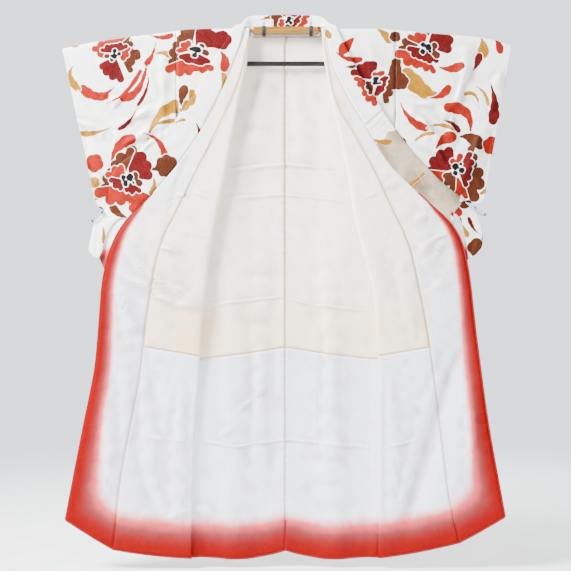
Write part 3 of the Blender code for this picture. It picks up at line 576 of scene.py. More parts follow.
def sleeve_place(share, drop, length):
    """Middle and half depth of a sleeve: share 0 at the body and 1 at the cuff edge.

    Below the armhole its inner part lies in front of the body, and its bottom corner is flat.
    """
    before = smooth((drop - ARMHOLE) / TUCK_FADE) * (1.0 - smooth((share - TUCK_SHARE) / TUCK_SHARE_FADE))
    depth = HALF_DEPTH + (SLEEVE_TUCKED - HALF_DEPTH) * before
    middle = -SLEEVE_FORWARD * before
    closed = smooth((share - CUFF_SEAM_SHARE) / CUFF_SEAM_FADE) * smooth((drop - CUFF) / CUFF_FADE)
    from_corner = math.hypot((1.0 - share) * SLEEVE_WIDTH, length - drop)
    corner = 1.0 - smooth((from_corner - CORNER_FLAT) / CORNER_FADE)
    bottom = BOTTOM_FLAT * (1.0 - smooth((length - drop) / BOTTOM_FADE))
    flat = max(closed, corner, bottom)
    return middle, depth + (SLEEVE_PINCH - depth) * flat


def sleeve_point(side, share, drop_share, facing):
    """A point of a sleeve: share 0 at the body and 1 at the cuff, drop_share 0 at the fold and 1 below."""
    size = SLEEVE[side]
    inner = BODY_SIDE[side] + SLEEVE_SIDE
    top_out = inner + (size["cuff_out"] - inner) * share
    from_corner = max(0.0, top_out - size["cuff_out"] + CORNER_RADIUS) / CORNER_RADIUS
    length = SLEEVE_LENGTH - CORNER_RADIUS * (1.0 - math.sqrt(max(0.0, 1.0 - from_corner * from_corner)))
    drop = length * drop_share
    free = max(0.0, drop - ARMHOLE - TUCK_FADE)
    lean_in = math.tan(math.radians(size["inner_lean"])) * free
    lean_in *= smooth(LEAN_START + free / LEAN_FADE)
    lean_cuff = math.tan(math.radians(size["cuff_lean"])) * drop
    out = top_out - lean_in * (1.0 - share) - lean_cuff * share
    middle, depth = sleeve_place(share, drop, length)
    top = shoulder_top(side, top_out)
    place = hung_point(side, out, top, drop * SLEEVE_SHRINK, depth, 0.0, facing)
    place[1] += middle * min(1.0, drop / BEND_LENGTH)
    return place


def sleeve_grid(side):
    """Rings round the sleeve, one for each step from the body to the cuff."""
    grid = []
    for share in SLEEVE_SHARES:
        ring = [sleeve_point(side, share, 0.0, -1.0)]
        ring += [sleeve_point(side, share, x / SLEEVE_LENGTH, -1.0) for x in SLEEVE_STEPS]
        bottom = sleeve_point(side, share, 1.0, -1.0)
        bottom[1] = sleeve_point(side, share, 1.0, 0.0)[1]
        ring.append(bottom)
        ring += [sleeve_point(side, share, x / SLEEVE_LENGTH, 1.0) for x in reversed(SLEEVE_STEPS)]
        grid.append(ring)
    return np.array(grid)


def collar_side(side):
    """Seam and free edge of one side of the collar, from its end up to the centre of the back neck."""
    sign = 1.0 if side == "right" else -1.0
    seam, free = [], []
    for seam_out, seam_drop, seam_depth, free_out, free_drop, free_depth in reversed(COLLAR_END[side]):
        seam.append((sign * seam_out, -seam_depth, -seam_drop))
        free.append((sign * free_out, -free_depth, -free_drop))
    for s in reversed([s for s in FRONT_STATIONS if s <= COLLAR_FREE[side][-1][0]]):
        place = turned_point(side, s, 1.0, COLLAR_CLOTH / 4)
        place[0] += sign * COLLAR_SEAM_GAP
        seam.append(place)
        out, drop, depth = [curve(COLLAR_FREE[side], s, k) for k in (1, 2, 3)]
        free.append((sign * out, -depth, -drop))
    for seam_out, free_out, back, rise in NECK_ROWS:
        turn = smooth((seam_out - NECK_TURN_FROM) / NECK_TURN_FADE)
        place = back_point(side, seam_out, neck_cut(seam_out) - TOP_TO_DROP - NECK_SEAM_GAP, 0.0)
        place += np.array([-sign * 1.4 * NECK_SEAM_GAP, 0.0, 0.6 * NECK_SEAM_GAP]) * turn
        seam.append(place)
        free.append((sign * free_out, back, rise))
    return [np.array(p, float) for p in seam], [np.array(p, float) for p in free]


def collar_lines():
    """Seam and free edge of the whole collar, from the left end round the neck to the right end."""
    left_seam, left_free = collar_side("left")
    right_seam, right_free = collar_side("right")
    return np.array(left_seam + right_seam[-2::-1]), np.array(left_free + right_free[-2::-1])


def collar_grid():
    seams, frees = collar_lines()
    return np.array([[a + (b - a) * x for x in COLLAR_SHARES] for a, b in zip(seams, frees)])


def grid_normals(grid):
    """Unit normals of a grid of points, with the same rows and columns."""
    along = np.gradient(grid, axis=0)
    across = np.gradient(grid, axis=1)
    normal = np.cross(along, across)
    return normal / np.linalg.norm(normal, axis=2, keepdims=True)


def cover_ends():
    """How many rows of the collar lie beyond each end of its cover."""
    beyond = sum(COVER_END < s <= COLLAR_FREE["left"][-1][0] for s in FRONT_STATIONS)
    return len(COLLAR_END["left"]) + beyond


def cover_grid():
    """The cover wraps the collar's free edge, from one end line round the neck to the other."""
    grid = collar_grid()
    normals = grid_normals(grid)
    across = grid[:, -1] - grid[:, 0]
    across = across / np.linalg.norm(across, axis=1, keepdims=True)
    ends = cover_ends()
    keep = range(ends, len(grid) - ends)
    rows = []
    for i in keep:
        beyond = abs(grid[i, -1, 0]) - COVER_NECK_OUT
        near_neck = 1.0 - smooth(beyond / COVER_NECK_FADE)
        off = COVER_OFF + COVER_NECK_OFF * near_neck
        front = [grid[i, j] + normals[i, j] * off for j in range(grid.shape[1])]
        front[0] = front[0] + (front[1] - front[0]) * (COVER_SET_IN + COVER_NECK_SET_IN * near_neck)
        turn = [
            grid[i, -1] + (normals[i, -1] * math.cos(a) + across[i] * math.sin(a)) * off
            for a in (math.radians(45), math.radians(90), math.radians(135))
        ]
        narrow = COVER_NECK_BACK * near_neck
        back = [grid[i, j] + (grid[i, -1] - grid[i, j]) * narrow - normals[i, j] * off for j in (3, 2, 1)]
        rows.append(front + turn + back)
    return np.array(rows)


# Storage creases and soft folds
BACK_CREASES = creases(
    (((-168, 400), (0, 386), (168, 400)), 35, 16), (((-186, 487), (-6, 473), (191, 496)), 35, 14),
    (((-229, 795), (-15, 771), (70, 792), (252, 812)), 35, 14),
    (((-258, 1186), (-150, 1206), (3, 1186), (270, 1209)), 40, 16), (((-157, 1117), (-55, 1030)), 40, 21),
    (((-203, 1180), (-157, 1151)), 40, 17), (((-262, 1381), (-230, 1392), (-196, 1412)), 60, 30),
    (((60, 1262), (140, 1230)), 60, 10), (((-90, 600), (-75, 930), (-82, 1360)), 280, 30),
    (((110, 660), (128, 950), (118, 1400)), 300, 30), (((30, 160), (52, 400)), 220, 16),
    (((-55, 140), (-90, 360)), 240, 18),
)
TURNED_CREASES = {
    "left": creases(
        (((-364, 627), (-335, 633), (-306, 645)), 35, 26),
        (((-262, 300), (-315, 440), (-352, 600)), 70, -16),
        (((-458, 621), (-429, 676), (-380, 716), (-281, 766)), 75, 44),
        (((-458, 711), (-386, 745), (-363, 771), (-307, 792), (-255, 800)), 80, 42),
        (((-484, 751), (-444, 890), (-409, 905)), 100, 30),
        (((-415, 934), (-397, 1282), (-348, 1415)), 120, 30), (((-522, 1076), (-513, 1334)), 100, 26),
        (((-300, 580), (-210, 600)), 40, 10), (((-341, 1412), (-305, 1395), (-276, 1381)), 60, 32),
        (((-360, 490), (-255, 470), (-190, 500)), 35, 12), (((-268, 1190), (-400, 1175)), 40, 12),
        (((-300, 1020), (-312, 1200), (-318, 1440)), 160, 30), (((-470, 980), (-462, 1200)), 120, 20),
        (((-350, 360), (-300, 440)), 80, 14),
    ),
    "right": creases(
        (((371, 551), (400, 534), (435, 539)), 70, 28), (((389, 638), (426, 603), (461, 589)), 80, 32),
        (((400, 679), (432, 650), (455, 603)), 70, 26), (((455, 705), (479, 664)), 60, 20),
        (((397, 760), (458, 725)), 80, 24),
        (((510, 916), (461, 1032), (394, 1267), (342, 1441)), 140, -36),
        (((480, 930), (430, 1050), (362, 1270), (316, 1430)), 160, 30),
        (((540, 1040), (528, 1330)), 110, 26), (((270, 1209), (386, 1183)), 40, 14),
        (((200, 500), (262, 470)), 35, 12), (((255, 470), (330, 430)), 40, 12),
        (((300, 1000), (306, 1420)), 160, 26), (((330, 660), (365, 900)), 120, 20),
    ),
}
SLEEVE_CREASES = creases(
    (((-330, 255), (-390, 290), (-464, 330)), 130, 40), (((-335, 225), (-400, 235), (-470, 270)), 150, 34),
    (((-345, 300), (-400, 335), (-440, 400)), 110, 30), (((-525, 177), (-480, 215)), 140, 26),
    (((-612, 255), (-516, 305)), 110, 28), (((-590, 360), (-540, 450)), 100, 24),
    (((-345, 60), (-352, 200)), 140, 24), (((522, 40), (515, 130), (490, 220)), 150, 36),
    (((345, 235), (400, 270), (450, 330)), 140, 36), (((350, 205), (430, 215), (480, 250)), 140, 30),
    (((480, 240), (476, 340)), 110, 28), (((560, 300), (520, 420)), 120, 28),
    (((620, 120), (590, 250)), 130, 24), (((400, 300), (460, 380)), 110, 26),
)
FRONT_CREASES = creases(
    (((-300, 160), (-250, 230)), 120, 20), (((-235, 20), (-260, 120)), 140, 16),
    (((300, 150), (250, 230)), 120, 20), (((230, 20), (262, 130)), 140, 16),
)

# Print, seen from the front: x, drop, size, turn in degrees and which colours lead
FRONT_FLOWERS = placed(
    (-262, 60, 80, 30, 0), (-490, 70, 66, 235, 0), (-455, 432, 86, 20, 0), (262, 148, 64, 100, 1),
    (404, 52, 80, 10, 0), (496, 402, 84, 120, 1), (10, -36, 58, 80, 0),
)
FRONT_LEAVES = leaves(
    (-405, 345, -375, 215, -292, 218, 150, "gold"), (-410, 285, -355, 268, -322, 262, 45, "gold"),
    (-395, 35, -400, 190, -468, 198, 90, "orange"), (-490, 160, -540, 215, -585, 170, 110, "orange"),
    (-610, 100, -640, 130, -600, 170, 80, "gold"), (-425, 210, -440, 270, -480, 285, 45, "crimson"),
    (-500, 278, -545, 305, -590, 298, 60, "gold"), (-425, 300, -350, 300, -345, 385, 75, "orange"),
    (-505, 400, -500, 330, -445, 315, 130, "orange"), (-370, 20, -385, 90, -402, 95, 60, "orange"),
    (-385, 420, -365, 450, -395, 490, 80, "gold"), (-262, 265, -235, 300, -250, 350, 80, "crimson"),
    (-205, 218, -168, 180, -178, 128, 60, "gold"), (-190, 62, -168, 80, -176, 112, 105, "orange"),
    (-285, 210, -262, 230, -270, 180, 80, "gold"), (-306, 235, -300, 190, -292, 170, 105, "brown"),
    (-345, 290, -300, 255, -290, 262, 30, "gold"), (-380, 70, -355, 60, -330, 75, 65, "gold"),
    (-400, 10, -360, 30, -330, 15, 60, "orange"), (330, 200, 345, 265, 402, 285, 85, "orange"),
    (470, 180, 420, 215, 352, 130, 190, "gold"), (410, 195, 450, 200, 470, 168, 90, "orange"),
    (405, 285, 440, 262, 495, 290, 50, "gold"), (525, 330, 560, 220, 470, 225, 130, "orange"),
    (560, 240, 560, 170, 520, 185, 40, "gold"), (455, 260, 480, 265, 500, 290, 60, "crimson"),
    (140, 60, 170, 95, 215, 85, 70, "orange"), (205, 15, 180, 40, 165, 60, 120, "orange"),
    (255, -10, 285, 5, 300, 30, 90, "gold"), (103, -14, 116, 2, 126, 20, 60, "gold"),
    (340, 50, 315, 75, 318, 130, 130, "brown"), (565, 20, 575, 45, 570, 70, 120, "gold"),
    (540, 120, 555, 100, 560, 75, 80, "crimson"), (600, 15, 618, 35, 620, 60, 80, "orange"),
    (545, 480, 575, 470, 600, 450, 60, "gold"), (240, 310, 270, 330, 300, 325, 60, "gold"),
    (295, 335, 315, 340, 335, 325, 120, "crimson"), (560, 590, 540, 575, 530, 545, 45, "crimson"),
    (508, 556, 512, 575, 524, 592, 60, "gold"), (570, 585, 575, 600, 572, 615, 50, "orange"),
    (-530, 562, -522, 580, -525, 612, 40, "gold"), (-75, -35, -50, -50, -25, -45, 60, "orange"),
    (-540, 215, -470, 215, -420, 120, 50, "orange"), (-395, 110, -390, 170, -425, 215, 40, "crimson"),
    (-600, 175, -560, 200, -520, 190, 95, "orange"), (-320, 365, -350, 415, -400, 400, 40, "brown"),
    (-560, 500, -540, 470, -510, 470, 110, "gold"), (-445, 545, -480, 540, -500, 510, 90, "brown"),
    (-380, 520, -410, 530, -440, 515, 110, "orange"), (360, 340, 380, 300, 425, 300, 40, "gold"),
    (590, 150, 610, 210, 600, 260, 120, "crimson"), (540, 160, 580, 170, 585, 215, 35, "gold"),
    (430, 350, 450, 310, 480, 310, 130, "orange"), (500, 310, 530, 300, 560, 330, 140, "brown"),
    (470, 480, 490, 520, 530, 500, 85, "brown"), (480, 545, 500, 520, 505, 560, 35, "crimson"),
    (170, 110, 200, 105, 215, 120, 85, "brown"), (440, 105, 470, 120, 505, 105, 100, "orange"),
    (410, 385, 400, 430, 362, 448, 60, "gold"),
)
# Lobed petals that lie by themselves: x, drop, radius, lobes, turn, colour
FRONT_PETALS = placed(
    (-186, 32, 28, 5, 40, "crimson"), (94, 2, 17, 4, 30, "brown"), (550, 630, 26, 4, 40, "brown"),
    (490, 528, 18, 4, 45, "orange"), (-540, 522, 12, 3, 10, "brown"), (-555, 385, 26, 5, 20, "orange"),
    (-420, 505, 24, 5, 60, "orange"), (-345, 395, 32, 7, 10, "brown"), (-555, 440, 16, 4, 0, "gold"),
    (-610, 40, 12, 3, 30, "gold"), (-525, 65, 20, 4, 70, "orange"), (-435, 72, 16, 4, 10, "brown"),
    (-455, 42, 17, 4, 30, "crimson"), (330, 150, 24, 6, 40, "brown"), (315, 20, 16, 5, 10, "brown"),
    (595, 335, 26, 5, 50, "orange"), (320, 355, 8, 3, 0, "crimson"), (425, 425, 6, 3, 30, "crimson"),
    (388, 395, 6, 3, 10, "crimson"), (470, 505, 18, 4, 30, "brown"),
)
# Every other side has the same flowers in a staggered repeat
REPEAT = (0.440, 0.366)
REPEAT_FLOWERS = placed(
    (98, 98, 80, 40, 0), (311, 250, 74, 190, 1),
)
REPEAT_LEAVES = leaves(
    (210, 184, 190, 79, 272, 47, 130, "gold"), (253, 144, 263, 89, 337, 81, 90, "orange"),
    (422, 31, 449, 86, 409, 144, 85, "crimson"), (291, -3, 351, -6, 379, 38, 55, "gold"),
    (24, 251, 91, 203, 150, 265, 90, "orange"), (12, 351, 20, 281, 100, 279, 110, "gold"),
    (76, 369, 146, 367, 176, 309, 70, "crimson"), (417, 351, 463, 313, 431, 251, 100, "orange"),
    (185, 18, 207, 42, 195, 74, 75, "brown"),
)
REPEAT_PETALS = placed(
    (366, 134, 17, 5, 60, "brown"), (210, 354, 14, 3, 20, "orange"),
)
# How far each part's cloth is shifted in the repeat, and each okumi more or less than that
REPEAT_SHIFT = {"back": 0.11, "front": 0.02, "okumi": 0.27, "sleeve": 0.07}
OKUMI_SHIFT = 0.1
PRINT_COLOURS = ("crimson", "orange", "brown", "gold", "black")
PRINT_GAP = 0.0016
PRINT_EDGE = 0.0004
PRINT_FAR = 0.010
LEAF_FULLNESS = 1.25
LEAF_LEAST = 0.0009
LEAF_STEPS = 24

# How much deeper wide and sharp creases are than their tables say, and where sharp ones end
CREASE_DEPTH = 2.3
SHARP_CREASE_DEPTH = 3.2
SHARP_WIDTH = 0.0055
SLEEVE_DEPTH = 1.8
# Blur passes over the crease heights, and the depth below the blur at which the painted crease shade is full
CREASE_BLUR = 14
CREASE_SHADE = 0.0009
WIDE_RIPPLE = 0.0016
FINE_RIPPLE = 0.0007
UNDER_RIPPLE = 0.0008
SLEEVE_RIPPLE = 0.0022
RIPPLE_WAVES = 7
# Random seed and length of each part's ripples
RIPPLES = {
    "back": ((3, 0.16), (4, 0.05)),
    "turned": ((11, 0.14), (12, 0.045)),
    "under": ((13, 0.07),),
    "sleeve": ((21, 0.12), (22, 0.04)),
}
# How far from an edge creases reach their full height, and how far down from the shoulder they start
EDGE_FADE = 0.05
CREASES_FROM = 0.02
SLEEVE_EASE = 0.02
SLEEVE_CREASES_TO = 0.50
UNDER_CREASES = (0.01, 0.24)
TURNED_FADE = 0.035
HELD_REACH = 0.03
HELD_FADE = 0.06
SEAM_GROOVE = 0.0007
SEAM_GROOVE_HALF = 0.004
SEAM_PUCKER = 0.00045
PUCKER_PITCH = 0.021
PUCKER_REACH = 0.020
# Gathers of the collar past its cover's ends: height, pitches, how far they reach, and how far out they lie
GATHER = 0.0048
GATHER_PITCHES = (0.0150, 0.0098)
GATHER_REACH = 0.036
GATHER_OUT = 0.17
DRAG = 0.0016
DRAG_FROM = 0.03
DRAG_FADE = 0.05
# The collar's end line: the turned-back fronts hang free below it
COLLAR_FOOT = 0.52
# Drops of the storage creases, where the cloth needs closer rows
FINE_DROPS = ((0.380, 0.408), (0.465, 0.505), (0.575, 0.655), (0.765, 0.818), (1.172, 1.214))
FINE_STEP = 0.0025
TOP_DROP = 0.30
SPACING_POINTS = 65
# Distances between points, down and across, as shares of the cloth or lining step
STEP_SHARES = {
    "front": (1.35, 0.90),
    "back": (1.35, 1.35),
    "okumi": (1.35, 1.15),
    "sleeve": (0.72, 0.72),
    "collar": (0.82, 0.82),
    "collar_cover": (0.72, 0.82),
}
MERGE = 1e-6

COVER_SILK = 0.0007
STITCH_END = 1.36
STITCH_RADIUS = 0.0003
STITCH_RISE = 0.0006
# Where in its pitch a stitch lies
STITCH_SHARES = (0.2, 0.72)
COVER_RISE = 0.0007
COLLAR_RISE = 0.0012
THREAD_RADIUS = 0.00055
THREAD_RISE = 0.0020
TACKED_TO = 0.32
LOOSE_THREADS = (((0.362, 0.455), (0.412, 0.412)), ((0.398, 0.448), (0.376, 0.402)))
SEAM_ROLL_TOP = 1.42
SEAM_ROLL = 0.0011
SEAM_ROLL_BEHIND = 0.0008
EDGE_ROLL_TOP = 0.47
EDGE_ROLL_FADE = 0.10
ROLL_HEIGHT = 0.00155
ROLL_OUT = 0.0004
# Opened stretch of the right collar, past its cover's end and past the clip
OPENED_FROM = 0.062
OPENED_PAST = 0.020
OPENED_RAGGED = 0.004
CORNER_TOP = 0.546
CORNER_FOOT = 0.660
CORNER_ROWS = 40
CORNER_BEHIND = 0.0030
CORNER_COLUMNS = 14
CORNER_BULGE = 0.006
CORNER_UNEVEN = 0.003
CORNER_BULGE_MOST = 0.008
CORNER_DYE_FROM = 0.055
CORNER_DYE_FADE = 0.06
CORNER_DYE = 0.5
CORNER_AGE = 0.6
# Width of the dye above the hem, and beside the front edge from drop to drop
HEM_DYE = 0.125
EDGE_DYE_DROPS = (0.52, 0.62, 0.80, 1.10, 1.35, 1.50)
EDGE_DYE = (0.015, 0.034, 0.044, 0.062, 0.090, 0.110)
EDGE_DYE_FROM = 0.50
EDGE_DYE_FADE = 0.05
LEAST_AWAY = 0.002
# Yellowing of the body lining: everywhere, low down and beside the side seams. The skirt lining's is high up
AGE = (0.22, 0.60, 0.35)
AGE_FROM = 0.74
AGE_FADE = 0.10
AGE_BESIDE = 0.035
SKIRT_AGE_FROM = 0.52
SKIRT_AGE_FADE = 0.30
# Dye on the shader's scale: full from here, half way here, and how far its border wanders
DYE_FULL = 0.29
DYE_MIDDLE = 0.13
DYE_WANDER = 0.16
# Painted shade in the troughs of creases: share of the painted shade, and its tone as shares of the cloth's
# red, green and blue
PAINTED_SHADE_SHARE = 0.56
PAINTED_SHADE_TINT = (0.52, 0.50, 0.49)

VIEW_MIDDLE = -0.738
VIEW_DISTANCE = 3.20
VIEW_WIDTH = 1.656
VIEW_NEAR = 0.05
SENSOR = 36.0
FLOOR = -1.560
FLOOR_HALF = 3.2
FLOOR_FADE = (0.9, 3.0)
# Lights: place, target, size, power
LIGHTS = {
    "key": ((-2.3, -1.35, 1.5), (0.1, 0.0, -0.8), 1.3, 720.0),
    "fill": ((2.4, -3.0, -0.2), (0.0, 0.0, -0.9), 2.2, 122.0),
    "low": ((0.3, -3.2, -1.2), (0.0, 0.0, -1.1), 1.6, 25.0),
    "back": ((1.9, 2.6, 1.3), (0.0, 0.0, -0.8), 1.8, 330.0),
}
# World colour and strength: as light, then as the camera sees it
WORLD = (((0.93, 0.97, 1.0, 1.0), 0.60), ((0.86, 0.93, 1.0, 1.0), 2.1))


def paint(red, green, blue):
    """A picture colour from 0 to 255 as a shader colour."""
    return tuple((v / 255.0) ** 2.2 for v in (red, green, blue)) + (1.0,)


def length_prop(name, description, default, least=0.0002):
    """A length in metres that a user may change."""
    return bpy.props.FloatProperty(
        name=name, description=description, default=default, min=least, unit="LENGTH"
    )


def colour_prop(name, description, *colour):
    """A colour that a user may change, with a picture colour as its default."""
    return bpy.props.FloatVectorProperty(
        name=name, description=description, subtype="COLOR", size=4, default=paint(*colour)
    )


class KimonoSizes(bpy.types.PropertyGroup):
    """Sizes of the cloth that a user may change."""

    cloth: length_prop("Cloth", "Thickness of the printed silk", 0.0008)
    lining: length_prop("Lining", "Thickness of the lining silk", 0.0006)
    collar: length_prop("Collar", "Thickness of the folded collar", 0.0018, 0.0005)
    cloth_step: length_prop("Cloth step", "Distance between points of the printed silk", 0.0050)
    lining_step: length_prop("Lining step", "Distance between points of the lining", 0.0080)
    stitch_pitch: length_prop("Stitch pitch", "Distance from stitch to stitch", 0.0070)
    hem_roll: length_prop("Hem roll", "How far the red lining rolls past the hem", 0.0030)


class KimonoColours(bpy.types.PropertyGroup):
    """Colours of the cloth and the hanger."""

    silk: colour_prop("Silk", "Ground of the printed silk", 247, 245, 241)
    crimson: colour_prop("Crimson", "Print", 84, 0, 8)
    orange: colour_prop("Orange red", "Print", 136, 26, 0)
    brown: colour_prop("Brown", "Print", 74, 34, 14)
    gold: colour_prop("Gold", "Print", 150, 102, 0)
    black: colour_prop("Black", "Print", 14, 15, 18)
    lining: colour_prop("Lining", "Body lining", 250, 244, 234)
    skirt: colour_prop("Skirt lining", "Satin skirt lining", 230, 244, 253)
    red: colour_prop("Hem red", "Dyed edge of the skirt lining", 120, 0, 3)
    bamboo: colour_prop("Bamboo", "Pole of the hanger", 148, 104, 4)


def sizes():
    return bpy.context.scene.kimono_sizes


def colours():
    return bpy.context.scene.kimono_colours


# Finer cloth

def finer(grid, row_step, column_step, top_step=None):
    """The same surface with points about a step apart, closer at the storage creases and above TOP_DROP, and
    where its coarse rows and columns are now."""
    where = []
    for axis in (0, 1):
        lengths = np.linalg.norm(np.diff(grid, axis=axis), axis=2).mean(axis=1 - axis)
        x = np.concatenate([[0.0], np.cumsum(lengths)])
        drops = -grid[..., 2].mean(axis=1)
        at = [0.0]
        index = [0]
        for k, (start, length) in enumerate(zip(x[:-1], lengths)):
            inner = np.linspace(start, start + length, SPACING_POINTS)
            dense = np.full(SPACING_POINTS, 1.0 / (row_step if axis == 0 else column_step))
            if axis == 0:
                drop = np.interp(inner, (start, start + length), (drops[k], drops[k + 1]))
                if top_step is not None:
                    dense = np.where(drop < TOP_DROP, 1.0 / top_step, dense)
                for low, high in FINE_DROPS:
                    dense = np.where((drop > low) & (drop < high), 1.0 / FINE_STEP, dense)
            steps = 0.5 * (dense[1:] + dense[:-1]) * np.diff(inner)
            gone = np.concatenate([[0.0], np.cumsum(steps)])
            count = max(1, int(round(gone[-1])))
            at += list(np.interp(np.arange(1, count + 1) / count * gone[-1], gone, inner))
            index.append(len(at) - 1)
        values = grid if axis == 0 else grid.transpose(1, 0, 2)
        values = through(x, values, np.array(at))
        grid = values if axis == 0 else values.transpose(1, 0, 2)
        where.append(index)
    return grid, where[0], where[1]


def along_rows(grid):
    """Distance of each point from its row's first point."""
    steps = np.linalg.norm(np.diff(grid, axis=1), axis=2)
    return np.concatenate([np.zeros((len(grid), 1)), np.cumsum(steps, axis=1)], axis=1)


def along_columns(grid):
    return along_rows(grid.transpose(1, 0, 2)).T


def ripple(x, z, seed, length):
    """Even random waves of about a length, from -1 to 1."""
    random = np.random.default_rng(seed)
    total = np.zeros_like(x)
    for _ in range(RIPPLE_WAVES):
        angle = random.uniform(0.0, math.pi)
        wave = 2.0 * math.pi / (length * random.uniform(0.7, 1.6))
        phase = random.uniform(0.0, 2.0 * math.pi)
        total = total + np.sin(wave * (x * math.cos(angle) + z * math.sin(angle)) + phase)
    return total / RIPPLE_WAVES


def crease_height(x, drop, table):
    """Height of soft creases that follow lines over a flat place, uneven along each line."""
    height = np.zeros_like(x)
    for number, (line, width, size) in enumerate(table):
        nearest = np.full(x.shape, 1.0)
        travel = np.zeros_like(x)
        length = sum(math.dist(a, b) for a, b in zip(line, line[1:]))
        gone = 0.0
        for (x0, z0), (x1, z1) in zip(line, line[1:]):
            part = math.dist((x0, z0), (x1, z1))
            t = ((x - x0) * (x1 - x0) + (drop - z0) * (z1 - z0)) / part ** 2
            t = np.clip(t, 0.0, 1.0)
            away = np.hypot(x - x0 - t * (x1 - x0), drop - z0 - t * (z1 - z0))
            closer = away < nearest
            nearest = np.where(closer, away, nearest)
            travel = np.where(closer, (gone + t * part) / length, travel)
            gone += part
        depth = SHARP_CREASE_DEPTH if width < SHARP_WIDTH else CREASE_DEPTH
        uneven = depth * (0.72 + 0.28 * np.sin(9.0 * travel * length / 0.1 + number))
        ends = smooth(travel / 0.15) * smooth((1.0 - travel) / 0.15)
        spread = width * (1.0 + 0.5 * np.sin(5.0 * travel + number))
        height = height + size * uneven * (0.25 + 0.75 * ends) * np.exp(-((nearest / spread) ** 2))
    return height


def pucker(along, across, size, pitch, reach):
    """Small gathers that run across a seam and fade away from it."""
    wave = np.sin(2.0 * math.pi * along / pitch) + 0.6 * np.sin(2.0 * math.pi * along / (pitch * 0.63) + 1.0)
    return size * wave * np.exp(-across / reach)


def crease_shade(height):
    """Painted shade in the troughs beside ridges, from 0 to 1: darker where the cloth lies lower than its
    blurred surroundings.
    """
    soft = height
    for _ in range(CREASE_BLUR):
        wide = np.pad(soft, 1, mode="edge")
        near = wide[:-2, 1:-1] + wide[2:, 1:-1] + wide[1:-1, :-2] + wide[1:-1, 2:]
        soft = 0.2 * (soft + near)
    return np.clip((soft - height) / CREASE_SHADE, 0.0, 1.0)


def raise_cloth(grid, height):
    """Moves points toward the viewer."""
    moved = grid.copy()
    moved[..., 1] -= height
    return moved


def shape_back(grid, side):
    x, drop = grid[..., 0], -grid[..., 2]
    wide, fine = (ripple(x, drop, *wave) for wave in RIPPLES["back"])
    inside = smooth((side_out(side, drop) - np.abs(x)) / EDGE_FADE)
    inside = inside * smooth((drop - CREASES_FROM) / EDGE_FADE)
    height = crease_height(x, drop, BACK_CREASES)
    height += WIDE_RIPPLE * wide + FINE_RIPPLE * fine
    height += pucker(drop, np.abs(x), SEAM_PUCKER, PUCKER_PITCH, PUCKER_REACH)
    height -= SEAM_GROOVE * np.exp(-((x / SEAM_GROOVE_HALF) ** 2))
    return raise_cloth(grid, height * inside)


def turned_height(grid, side, share=1.0):
    """Height of the turned-back fronts' creases, which is less beside the seam that holds the collar."""
    x, drop = grid[..., 0], -grid[..., 2]
    cross = along_rows(grid)
    edge = cross[:, -1:] - cross
    held = 1.0 - (1.0 - smooth(edge / HELD_REACH)) * (1.0 - smooth((drop - COLLAR_FOOT) / HELD_FADE))
    wide, fine = (ripple(x, drop, *wave) for wave in RIPPLES["turned"])
    height = crease_height(x, drop, TURNED_CREASES[side]) + WIDE_RIPPLE * wide
    height += FINE_RIPPLE * fine
    return height * share * held * smooth((drop - 0.05) / 0.10)


def shape_front(grid, side, columns):
    """columns gives the fine columns of the roll's start and end, with the turned part after it."""
    x, drop = grid[..., 0], -grid[..., 2]
    cross = along_rows(grid)
    start, end = (cross[:, k][:, None] for k in columns)
    height = turned_height(grid, side, smooth((cross - end) / TURNED_FADE))
    under = 1.0 - smooth((cross - start + 0.01) / 0.01)
    top, foot = UNDER_CREASES
    below = smooth((drop - top) / EDGE_FADE) * (1.0 - smooth((drop - foot) / EDGE_FADE))
    inner = crease_height(x, drop, FRONT_CREASES) + UNDER_RIPPLE * ripple(x, drop, *RIPPLES["under"][0])
    return raise_cloth(grid, height + inner * under * below)


def shape_collar(grid, ends):
    """ends gives the fine rows where the collar's cover starts and stops: gathers lie just past both."""
    along = along_columns(grid)
    cross = along_rows(grid)
    share = cross / cross[:, -1:]
    first, last = along[ends[0]][None], along[ends[1]][None]
    height = np.zeros(grid.shape[:2])
    for past, seed in ((first - along, 0.0), (along - last, 1.3)):
        wave = 0.6 * np.sin(2.0 * math.pi * past / GATHER_PITCHES[0] + seed + 1.5 * share)
        wave = wave + 0.4 * np.sin(2.0 * math.pi * past / GATHER_PITCHES[1] + 2.0 * seed)
        gather = np.exp(-np.maximum(past, 0.0) / GATHER_REACH) * smooth((past - 0.003) / 0.006)
        height += GATHER * (0.5 + 0.5 * wave) * gather * (past > 0.0)
        beyond = smooth((past - DRAG_FROM) / DRAG_FADE) * (past > 0.0)
        drag = 0.5 + 0.5 * np.sin(2.0 * math.pi * (share * 1.7 + 0.4 * np.sin(past / 0.04)) + seed)
        height += DRAG * drag * beyond
    inside = np.sin(math.pi * share) ** 0.5
    moved = grid.copy()
    moved[..., 1] -= height * inside * (np.abs(grid[..., 0]) > GATHER_OUT)
    return moved


def shape_sleeve(grid, side, ring):
    """ring gives the fine column of the bottom fold: the front layer comes before it."""
    x, drop = grid[..., 0], -grid[..., 2]
    column = np.arange(grid.shape[1])[None, :]
    front = np.where(column <= ring, 1.0, -1.0)
    inner = BODY_SIDE[side] + SLEEVE_EASE
    from_body = smooth((np.abs(x) - inner + SLEEVE_EASE) / EDGE_FADE)
    below = smooth((drop - CREASES_FROM) / EDGE_FADE) * smooth((SLEEVE_CREASES_TO - drop) / EDGE_FADE)
    size = np.where(front > 0, 1.0, 0.8)
    wide, fine = (ripple(x, drop, *wave) for wave in RIPPLES["sleeve"])
    height = SLEEVE_DEPTH * crease_height(x, drop, SLEEVE_CREASES) + SLEEVE_RIPPLE * wide
    height += FINE_RIPPLE * fine
    return raise_cloth(grid, np.abs(height) * front * size * from_body * below)


# Print

